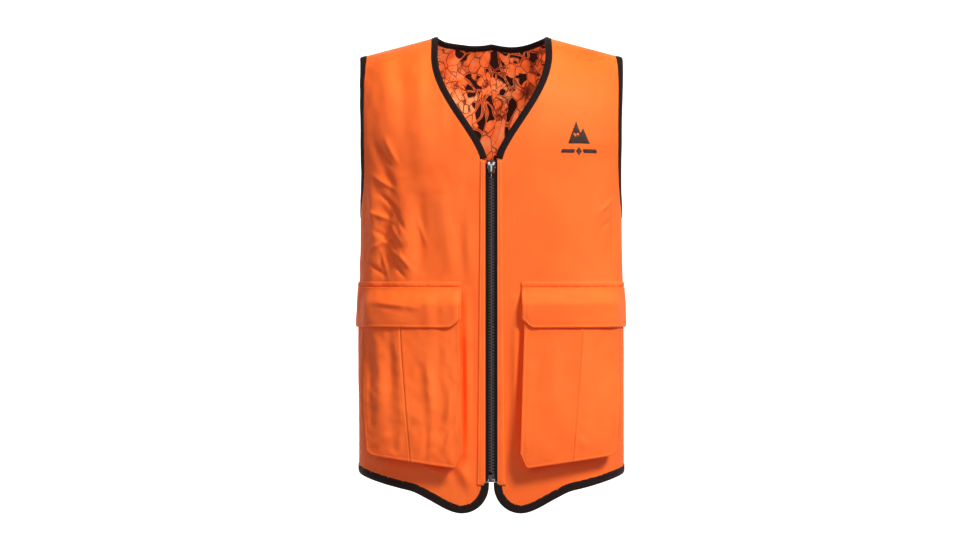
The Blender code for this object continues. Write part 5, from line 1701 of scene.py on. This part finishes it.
inset = POCKET_STITCH_IN / POCKET_WIDE
for side, word in words.items():
    group = "front_" + word
    sew_facing(side, group)
    sew_panel(FRONT, side, group)
    sew_panel(BACK, side, "back")
    sew_welt(side, group)
    sew_flap(side, word)
    for across in (inset, FOLD_STITCH_IN / POCKET_WIDE):
        sew_pocket_down(side, word, across, foot_at(across) + 0.006)
    sew_pocket_down(side, word, 1 - inset, foot_at(1.0) + 0.004)
    across = np.linspace(inset, 1 - inset, 200)
    sew_pocket(side, word, across, pocket_foot(across) + 0.0034)
    for shift in (-SEAM_STITCH_SIDE, SEAM_STITCH_SIDE):
        across = POCKET_SEAM + shift / POCKET_WIDE
        sew_pocket_down(side, word, across, foot_at(across) + 0.004)

# %% Threads
thread_orange = new_material("orange_thread", (1.0, 0.4, 0.16), 0.4, specular=0.5)
thread_dark = new_material("dark_thread", (0.028, 0.014, 0.012), 0.55, specular=0.4)
for made in (thread_orange, thread_dark):
    add_bump(made, noise(made, own_places(made), 4000.0, 1.0), 0.0001, 0.5)
for word in words.values():
    finish_stitches("front_" + word, thread_orange, word)
    finish_stitches("pocket_" + word, thread_orange, "front_" + word)
    finish_stitches("flap_" + word, thread_orange, "flap_" + word)
    finish_stitches("binding_front_" + word, thread_dark, word)
finish_stitches("back", thread_orange, "back")
finish_stitches("binding_back", thread_dark, "back")

# %% [markdown]
# ## Zip
#
# The teeth are moulded round the beaded edge of each tape. One tooth starts as a cube of its full size,
# gets a raised head by inset and extrude, and soft edges by bevel; it is then copied up the tape at the
# true pitch. The other row stands half a pitch off, so the heads interlock.


# %% Hard-surface kit
def start_box(name, low, high, material):
    """A cube at its size and place, ready for editing."""
    low, high = Vector(low), Vector(high)
    bpy.ops.object.select_all(action="DESELECT")
    bpy.ops.mesh.primitive_cube_add(size=1, location=(low + high) / 2)
    piece = bpy.context.active_object
    piece.name = name
    piece.scale = high - low
    bpy.ops.object.transform_apply(location=True, rotation=True, scale=True)
    piece.data.materials.append(material)
    return piece


def start_tube(name, place, radius, depth, axis, material, vertices=24):
    """A cylinder at its size and place along x, y or z."""
    turns = {"X": (0, QUARTER, 0), "Y": (QUARTER, 0, 0), "Z": (0, 0, 0)}
    bpy.ops.object.select_all(action="DESELECT")
    bpy.ops.mesh.primitive_cylinder_add(vertices=vertices, radius=radius, depth=depth, location=place,
                                        rotation=turns[axis])
    piece = bpy.context.active_object
    piece.name = name
    bpy.ops.object.transform_apply(location=True, rotation=True, scale=True)
    piece.data.materials.append(material)
    return piece


def pick(piece, wanted, kind="FACE"):
    """Enter edit mode with only the faces (or vertices) that fit a rule selected."""
    select_only(piece)
    bpy.ops.object.mode_set(mode="EDIT")
    bpy.ops.mesh.select_mode(type=kind)
    bpy.ops.mesh.select_all(action="DESELECT")
    bpy.ops.object.mode_set(mode="OBJECT")
    items = piece.data.polygons if kind == "FACE" else piece.data.vertices
    for item in items:
        item.select = bool(wanted(item.center if kind == "FACE" else item.co, item.normal))
    bpy.ops.object.mode_set(mode="EDIT")


def leave():
    bpy.ops.object.mode_set(mode="OBJECT")


def taper(piece, wanted, factors, centre):
    """Resize the corner points that fit a rule, about a centre."""
    pick(piece, wanted, "VERT")
    bpy.ops.transform.resize(value=factors, center_override=centre)
    leave()


def raise_front(piece, inset, rise):
    """Raise a smaller face on the front, by inset and extrude."""
    pick(piece, lambda centre, normal: normal.y < -0.9)
    bpy.ops.mesh.inset(thickness=inset, depth=0)
    bpy.ops.mesh.extrude_region_move(TRANSFORM_OT_translate={"value": (0, -rise, 0)})
    leave()


def bevel_all(piece, width, segments, angle=30):
    """Round every edge that is sharper than an angle."""
    soft = piece.modifiers.new("soft edges", "BEVEL")
    soft.width = width
    soft.segments = segments
    soft.limit_method = "ANGLE"
    soft.angle_limit = math.radians(angle)
    apply_modifiers(piece)
    select_only(piece)
    bpy.ops.object.shade_smooth_by_angle(angle=math.radians(40))


def cut_away(piece, tool):
    """Cut one piece with another, which is then thrown away."""
    cut = piece.modifiers.new("cut", "BOOLEAN")
    cut.operation = "DIFFERENCE"
    cut.object = tool
    cut.solver = "EXACT"
    apply_modifiers(piece)
    bpy.data.objects.remove(tool, do_unlink=True)


def join_pieces(name, pieces):
    bpy.ops.object.select_all(action="DESELECT")
    for piece in pieces:
        piece.select_set(True)
    bpy.context.view_layer.objects.active = pieces[0]
    bpy.ops.object.join()
    pieces[0].name = name
    return pieces[0]


def copy_of(piece, shift):
    """A copy with its own mesh, moved by a shift."""
    made = piece.copy()
    made.data = piece.data.copy()
    made.data.transform(Matrix.Translation(shift))
    scene.collection.objects.link(made)
    return made


# %% Plastic and metal
def satin_plastic():
    made = new_material("moulded_zip_plastic", (0.028, 0.026, 0.027), 0.34, specular=0.55)
    grain = noise(made, own_places(made), 900.0, 3.0)
    set_range(made, grain, 0.28, 0.45, principled(made).inputs["Roughness"])
    add_bump(made, grain, 0.00005, 0.4)
    return made


def cast_metal(name, dark, bright):
    made = new_material(name, bright, 0.3, 1.0)
    coordinates = own_places(made)
    wear = noise(made, coordinates, 500.0, 4.0, 0.6)
    colour_by(made, wear, [(0.3, dark), (0.7, bright)])
    set_range(made, wear, 0.22, 0.42, principled(made).inputs["Roughness"])
    add_bump(made, noise(made, coordinates, 2500.0, 2.0), 0.00003, 0.4)
    return made


def woven_tape():
    made = new_material("zip_tape_weave", (0.018, 0.014, 0.015), 0.85, specular=0.2)
    coordinates = own_places(made)
    warp = thread_wave(made, coordinates, "X", 0.0005)
    weft = thread_wave(made, coordinates, "Z", 0.0006)
    crossing = math_node(made, "MULTIPLY", warp, weft)
    colour_by(made, crossing, [(0.1, (0.008, 0.006, 0.007)), (0.8, (0.04, 0.032, 0.033))])
    add_bump(made, math_node(made, "ADD", warp, weft), 0.0002, 0.7)
    return made


def touch_pile():
    """Hook and loop tape: a fine pile of bristles."""
    made = new_material("touch_tape_pile", (0.6, 0.1, 0.012), 0.9, specular=0.15)
    pile = node(made, "ShaderNodeTexVoronoi", Scale=1600.0)
    link(made, own_places(made), pile.inputs["Vector"])
    colour_by(made, pile.outputs["Distance"], [(0.1, (0.85, 0.17, 0.03)), (0.6, (0.35, 0.05, 0.006))])
    add_bump(made, pile.outputs["Distance"], 0.0004, 0.8)
    return made


nickel = cast_metal("slider_nickel", (0.27, 0.265, 0.27), (0.52, 0.51, 0.51))
blackened = cast_metal("slider_black_metal", (0.03, 0.029, 0.032), (0.085, 0.083, 0.086))
plastic, zip_weave, pile = satin_plastic(), woven_tape(), touch_pile()
carried = {"zip_tape_left": zip_weave, "zip_tape_right": zip_weave}
for name in ("hook_tape_left", "hook_tape_right"):
    carried[name] = pile
for piece in loops:
    piece.data.materials.clear()
    piece.data.materials.append(pile)
for name, material in carried.items():
    frame["nodes"][name].data.materials.clear()
    frame["nodes"][name].data.materials.append(material)
print(len(carried), "pieces of the packed model carried over with new finishes")

# %% Teeth
TOOTH_PITCH, TOOTH_HEAD, TOOTH_OVERLAP, TOOTH_ROOT = 0.0044, 0.002, 0.0011, 0.0041
TAPE_EDGE, TAPE_HALF = 0.0006, 0.0004
CORD_PLACE, CORD_RADIUS = 0.0044, 0.0006
teeth = {}
for side, word in words.items():
    low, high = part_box("zip_teeth_" + word)
    middle_y = (low.y + high.y) / 2
    near, far = -TOOTH_OVERLAP * side, TOOTH_ROOT * side
    first = low.z + (0.5 if side > 0 else 1.0) * TOOTH_PITCH
    tooth = start_box("zip_tooth", (min(near, far), low.y, first - TOOTH_HEAD / 2),
                      (max(near, far), high.y, first + TOOTH_HEAD / 2), plastic)
    raise_front(tooth, 0.0004, 0.0004)
    taper(tooth, lambda place, _: abs(place.x) > 0.0035, (1, 1, 1.25), (far, middle_y, first))
    bevel_all(tooth, 0.00028, 1)
    count = int((high.z - low.z) / TOOTH_PITCH) - 1
    row = [tooth] + [copy_of(tooth, (0, 0, TOOTH_PITCH * step)) for step in range(1, count)]
    near, far = sorted((side * TAPE_EDGE, side * 0.0048))
    beaded = start_box("zip_tape_edge", (near, middle_y - TAPE_HALF, low.z),
                       (far, middle_y + TAPE_HALF, high.z), zip_weave)
    cord = start_tube("zip_cord", (side * CORD_PLACE, middle_y, (low.z + high.z) / 2), CORD_RADIUS,
                      high.z - low.z, "Z", zip_weave, 12)
    teeth[side] = join_pieces("zip_teeth_row_" + word, row + [beaded, cord])
    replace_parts(teeth[side], "zip_teeth_" + word)
    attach(teeth[side], "front_" + word)
    print(count, "teeth on the", word, len(teeth[side].data.polygons), "faces")

# %% [markdown]
# The foot of the zip is a moulded box that takes the insertion pin, and its head has a stop on each tape:
# blocks with soft edges, a step, and a notch for the pin.

# %% Box, pin and stops
low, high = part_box("zip_retainer_box")
pin_low, pin_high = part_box("zip_insertion_pin")
box = start_box("zip_box", low, high, plastic)
raise_front(box, 0.0009, 0.0005)
notch = start_box("notch", (pin_low.x - 0.0002, low.y - 0.002, pin_low.z - 0.0003),
                  (pin_low.x + 0.002, high.y + 0.002, high.z + 0.001), plastic)
cut_away(box, notch)
bevel_all(box, 0.0003, 2)
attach(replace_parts(box, "zip_retainer_box"), "front_right")
pin = start_box("zip_pin", pin_low, (pin_low.x + 0.0018, pin_high.y, pin_high.z), plastic)
wing = start_box("pin_wing", (pin_low.x + 0.0012, pin_low.y, high.z + 0.0003), pin_high, plastic)
for piece in (pin, wing):
    bevel_all(piece, 0.00025, 2)
pin = join_pieces("zip_pin", [pin, wing])
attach(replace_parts(pin, "zip_insertion_pin"), "front_left")
for side, word in words.items():
    low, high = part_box("zip_top_stop_" + word)
    stop = start_box("zip_stop_" + word, low, high, plastic)
    bevel_all(stop, 0.0004, 2)
    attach(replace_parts(stop, "zip_top_stop_" + word), "front_" + word)
print("box, pin and two stops")

# %% [markdown]
# ## Slider
#
# The slider is die-cast. Two plates run before and behind the teeth, joined by a thin web. The front plate
# is a shield with two bright shoulders and a rib; the lining side carries the arch, on which the pull
# hangs. Plates start as cubes and are tapered and bevelled.

# %% Slider body
low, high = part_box("slider_body")
chain_y = (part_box("zip_teeth_left")[0].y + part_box("zip_teeth_left")[1].y) / 2
PLATE_NEAR, PLATE_FAR = 0.002, 0.0031
SHIELD_HALF, SHIELD_FOOT_HALF = 0.0062, 0.0042
WEB_HALF, RIB_HALF, LIP_HALF, LIP_PLACE = 0.0004, 0.0015, 0.0004, 0.0056
SHOULDER_PLACE, SHOULDER_HALF, SHOULDER_LEAN = 0.004, 0.0019, 0.0014
foot_z, top_z = low.z, high.z
tall = top_z - foot_z
front_y, back_y = chain_y - PLATE_FAR, chain_y + PLATE_FAR
parts = []


def keep_part(piece, width, segments):
    """Round a part's edges and keep it for the casting."""
    bevel_all(piece, width, segments)
    parts.append(piece)


def tapered_plate(name, near_y, far_y):
    """A plate that narrows towards its foot, with a soft edge."""
    plate = start_box(name, (-SHIELD_HALF, near_y, foot_z), (SHIELD_HALF, far_y, top_z), blackened)
    pick(plate, lambda centre, normal: abs(normal.z) < 0.1 and abs(normal.x) > 0.9)
    bpy.ops.mesh.subdivide(number_cuts=2)
    leave()
    low_z, middle_z, centre = foot_z + tall * 0.1, foot_z + tall * 0.5, (0, near_y, foot_z)
    taper(plate, lambda place, _: place.z < low_z, (SHIELD_FOOT_HALF / SHIELD_HALF, 1, 1), centre)
    taper(plate, lambda place, _: low_z < place.z < middle_z, (0.8, 1, 1), centre)
    keep_part(plate, 0.0004, 3)


tapered_plate("slider_front", front_y, chain_y - PLATE_NEAR)
tapered_plate("slider_back", chain_y + PLATE_NEAR, back_y)
web = start_box("slider_web", (-WEB_HALF, chain_y - PLATE_NEAR - 0.0002, foot_z + tall * 0.45),
                (WEB_HALF, chain_y + PLATE_NEAR + 0.0002, top_z - 0.0006), nickel)
keep_part(web, 0.0001, 1)
rib = start_box("slider_rib", (-RIB_HALF, front_y - 0.0011, foot_z + 0.0012),
                (RIB_HALF, front_y + 0.0003, top_z - 0.003), nickel)
taper(rib, lambda place, _: place.y < front_y - 0.0008, (0.62, 1, 0.88), (0, front_y, (foot_z + top_z) / 2))
keep_part(rib, 0.0003, 3)
for side in (-1, 1):
    place_x = side * SHOULDER_PLACE
    shoulder = start_box("slider_shoulder", (place_x - SHOULDER_HALF, front_y - 0.0008, top_z - 0.0046),
                         (place_x + SHOULDER_HALF, front_y + 0.0003, top_z + 0.0002), nickel)
    pick(shoulder, lambda place, _: place.z < top_z - 0.004, "VERT")
    bpy.ops.transform.translate(value=(-side * SHOULDER_LEAN, 0, 0))
    leave()
    keep_part(shoulder, 0.0006, 3)
    for near_y, far_y in ((-PLATE_NEAR - 0.0002, -0.0008), (0.0008, PLATE_NEAR + 0.0002)):
        lip = start_box("slider_lip", (side * LIP_PLACE - LIP_HALF, chain_y + near_y, foot_z + tall * 0.42),
                        (side * LIP_PLACE + LIP_HALF, chain_y + far_y, top_z - 0.0008), nickel)
        keep_part(lip, 0.0002, 2)

# %% Arch and pull
ARCH_RADIUS, ARCH_WIDE, ARCH_HOLLOW = 0.0034, 0.0022, 0.0023
EYE_HALF, GRIP_RADIUS = 0.0017, 0.0019
pull_low, pull_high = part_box("pull_tab")
arch_z = pull_high.z - 0.0007
arch = start_tube("slider_arch", (0, back_y + 0.0004, arch_z), ARCH_RADIUS, ARCH_WIDE, "X", nickel, 32)
hollow = start_tube("hollow", (0, back_y + 0.0002, arch_z), ARCH_HOLLOW, 0.004, "X", nickel, 32)
cut_away(arch, hollow)
below = start_box("below", (-0.004, chain_y - 0.006, arch_z - 0.006),
                  (0.004, back_y - 0.0004, arch_z + 0.006), nickel)
cut_away(arch, below)
keep_part(arch, 0.00025, 2)
slider = join_pieces("slider_casting", parts)
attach(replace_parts(slider, "slider_body"), "slider")
pull_y = (pull_low.y + pull_high.y) / 2
pull = start_box("slider_pull", pull_low, pull_high, nickel)
pull_middle = (pull_low.z + pull_high.z) / 2
taper(pull, lambda place, _: place.z < pull_middle, (0.86, 1, 1), (0, pull_y, pull_low.z))
eye = start_box("eye", (-EYE_HALF, pull_y - 0.003, pull_high.z - 0.0088),
                (EYE_HALF, pull_y + 0.003, pull_high.z - 0.0014), nickel)
cut_away(pull, eye)
grip = start_tube("grip", (0, pull_y, pull_low.z + 0.0048), GRIP_RADIUS, 0.006, "Y", nickel, 24)
cut_away(pull, grip)
bevel_all(pull, 0.00028, 2)
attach(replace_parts(pull, "pull_tab"), "pull")
print("slider", round(1000 * tall, 1), "mm tall")

# %% [markdown]
# ## Embroidery
#
# The chest carries an embroidered mark. Here it is a plain one: two peaks over a bar with a diamond.
# Satin stitch lays threads side by side across a shape, so each shape is filled with parallel threads.


# %% Satin stitch
THREAD_PITCH, THREAD_RADIUS = 0.00042, 0.00026
EMBLEM_X, EMBLEM_FOOT = 0.131, 0.5345
peaks = [(-0.0165, 0.017), (-0.004, 0.0515), (0.0024, 0.033), (0.0066, 0.041), (0.0165, 0.017)]
bar = [(-0.027, 0.003), (-0.0075, 0.003), (-0.006, 0.0092), (-0.0255, 0.0092)]
diamond = [(0.0, -0.0005), (0.0046, 0.006), (0.0, 0.0125), (-0.0046, 0.006)]
snow = [(-0.0075, 0.034), (-0.0046, 0.0305), (-0.0026, 0.034), (0.0006, 0.0315), (0.0004, 0.0296),
        (-0.003, 0.0312), (-0.0046, 0.028), (-0.0082, 0.0318)]
other_bar = [(-x, height) for x, height in bar[::-1]]


def spans(outline, holes, level):
    """Stretches of a level line that lie inside an outline and outside the holes."""
    def crossings(shape):
        found = []
        for (x1, y1), (x2, y2) in zip(shape, shape[1:] + shape[:1]):
            if (y1 > level) != (y2 > level):
                found.append(x1 + (x2 - x1) * (level - y1) / (y2 - y1))
        return sorted(found)

    marks = sorted(crossings(outline) + [x for hole in holes for x in crossings(hole)])
    return [(start, end) for start, end in zip(marks[::2], marks[1::2]) if end - start > 0.0004]


def turned(shape, angle):
    c, s = math.cos(angle), math.sin(angle)
    return [(x * c - y * s, x * s + y * c) for x, y in shape]


def satin(shape, holes, angle, seed):
    """Threads at an angle that fill a shape."""
    rotated, cut = turned(shape, -angle), [turned(hole, -angle) for hole in holes]
    low, high = min(y for _, y in rotated), max(y for _, y in rotated)
    levels = np.arange(low + THREAD_PITCH / 2, high, THREAD_PITCH)
    jitter = np.random.RandomState(seed).uniform(-0.00018, 0.00018, (len(levels), 2))
    for level, (shift, other) in zip(levels, jitter):
        for start, end in spans(rotated, cut, level):
            share = np.linspace(0, 1, max(4, int((end - start) / 0.0018)))
            along = mix(start + shift, end + other, share)
            x, y = np.array(turned([(value, level) for value in along], angle)).T
            places = spot(FRONT, EMBLEM_X + x, EMBLEM_FOOT + y)
            lift = 0.0001 + 0.0006 * np.sin(math.pi * share) ** 0.5
            thread_tube(lay(FRONT, places, lift), skin_normal(FRONT, places))


emblem_points, emblem_faces = [], []
TUBE_SIDES = 5


def thread_tube(points, normals):
    """A thin tube along a few points."""
    ahead = np.gradient(points, axis=0)
    ahead /= np.linalg.norm(ahead, axis=1, keepdims=True)
    beside = np.cross(ahead, normals)
    start = sum(len(ring) for ring in emblem_points)
    size = np.full(len(points), THREAD_RADIUS)
    size[0] = size[-1] = THREAD_RADIUS * 0.35
    turns = 2 * math.pi * np.arange(TUBE_SIDES)[:, None] / TUBE_SIDES
    for point, side_way, normal, radius in zip(points, beside, normals, size):
        emblem_points.append(point + radius * (np.cos(turns) * side_way + np.sin(turns) * normal))
    emblem_faces.extend(tube_faces(len(points), TUBE_SIDES, start))


satin(peaks, [snow], math.radians(62), 1)
satin(diamond, [], math.radians(0), 2)
satin(bar, [], math.radians(78), 3)
satin(other_bar, [], math.radians(102), 4)
emblem_thread = new_material("emblem_thread", (0.04, 0.014, 0.008), 0.42, specular=0.5)
fleck = noise(emblem_thread, own_places(emblem_thread), 700.0)
colour_by(emblem_thread, fleck, [(0.3, (0.024, 0.009, 0.006)), (0.7, (0.06, 0.024, 0.014))])
emblem = mesh_piece("chest_embroidery", np.concatenate(emblem_points), emblem_faces, None, emblem_thread)
face_outwards(emblem)
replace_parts(emblem, "chest_emblem")
bend_over_shoulder(emblem)
print("embroidery", len(emblem_faces), "faces")

# %% [markdown]
# ## Flat sizes of the cloth
#
# The flat size each cloth piece was cut to is measured from its UV map and printed.


# %% Flat sizes
SHORTEST_CUT = 0.0102


def declare(piece):
    """Measure the flat size and area of a sheet from its own UV map, and print the size."""
    data = piece.data
    flat = np.zeros(2 * len(data.loops))
    data.uv_layers["cut"].data.foreach_get("uv", flat)
    flat = flat.reshape(-1, 2)
    wide, long = np.maximum(flat.max(0) - flat.min(0), SHORTEST_CUT)
    area = 0.0
    for face in data.polygons:
        corners = flat[list(face.loop_indices)]
        x, y = corners[:, 0], corners[:, 1]
        area += abs(x @ np.roll(y, -1) - y @ np.roll(x, -1)) / 4
    area = min(area, wide * long)
    print(piece.name, "flat", round(1000 * wide), "x", round(1000 * long), "mm")


for piece in (*shells.values(), *linings.values(), back_shell, back_lining):
    declare(piece)
for piece in bound:
    declare(piece)
for piece in (*facings.values(), *welts.values(), *loops, *seam_tapes):
    declare(piece)
for piece in (*pockets, *flaps.values()):
    declare(piece)

# %% Finish
low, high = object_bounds()
print("finished size in mm", [round(1000 * (b - a), 1) for a, b in zip(low, high)])
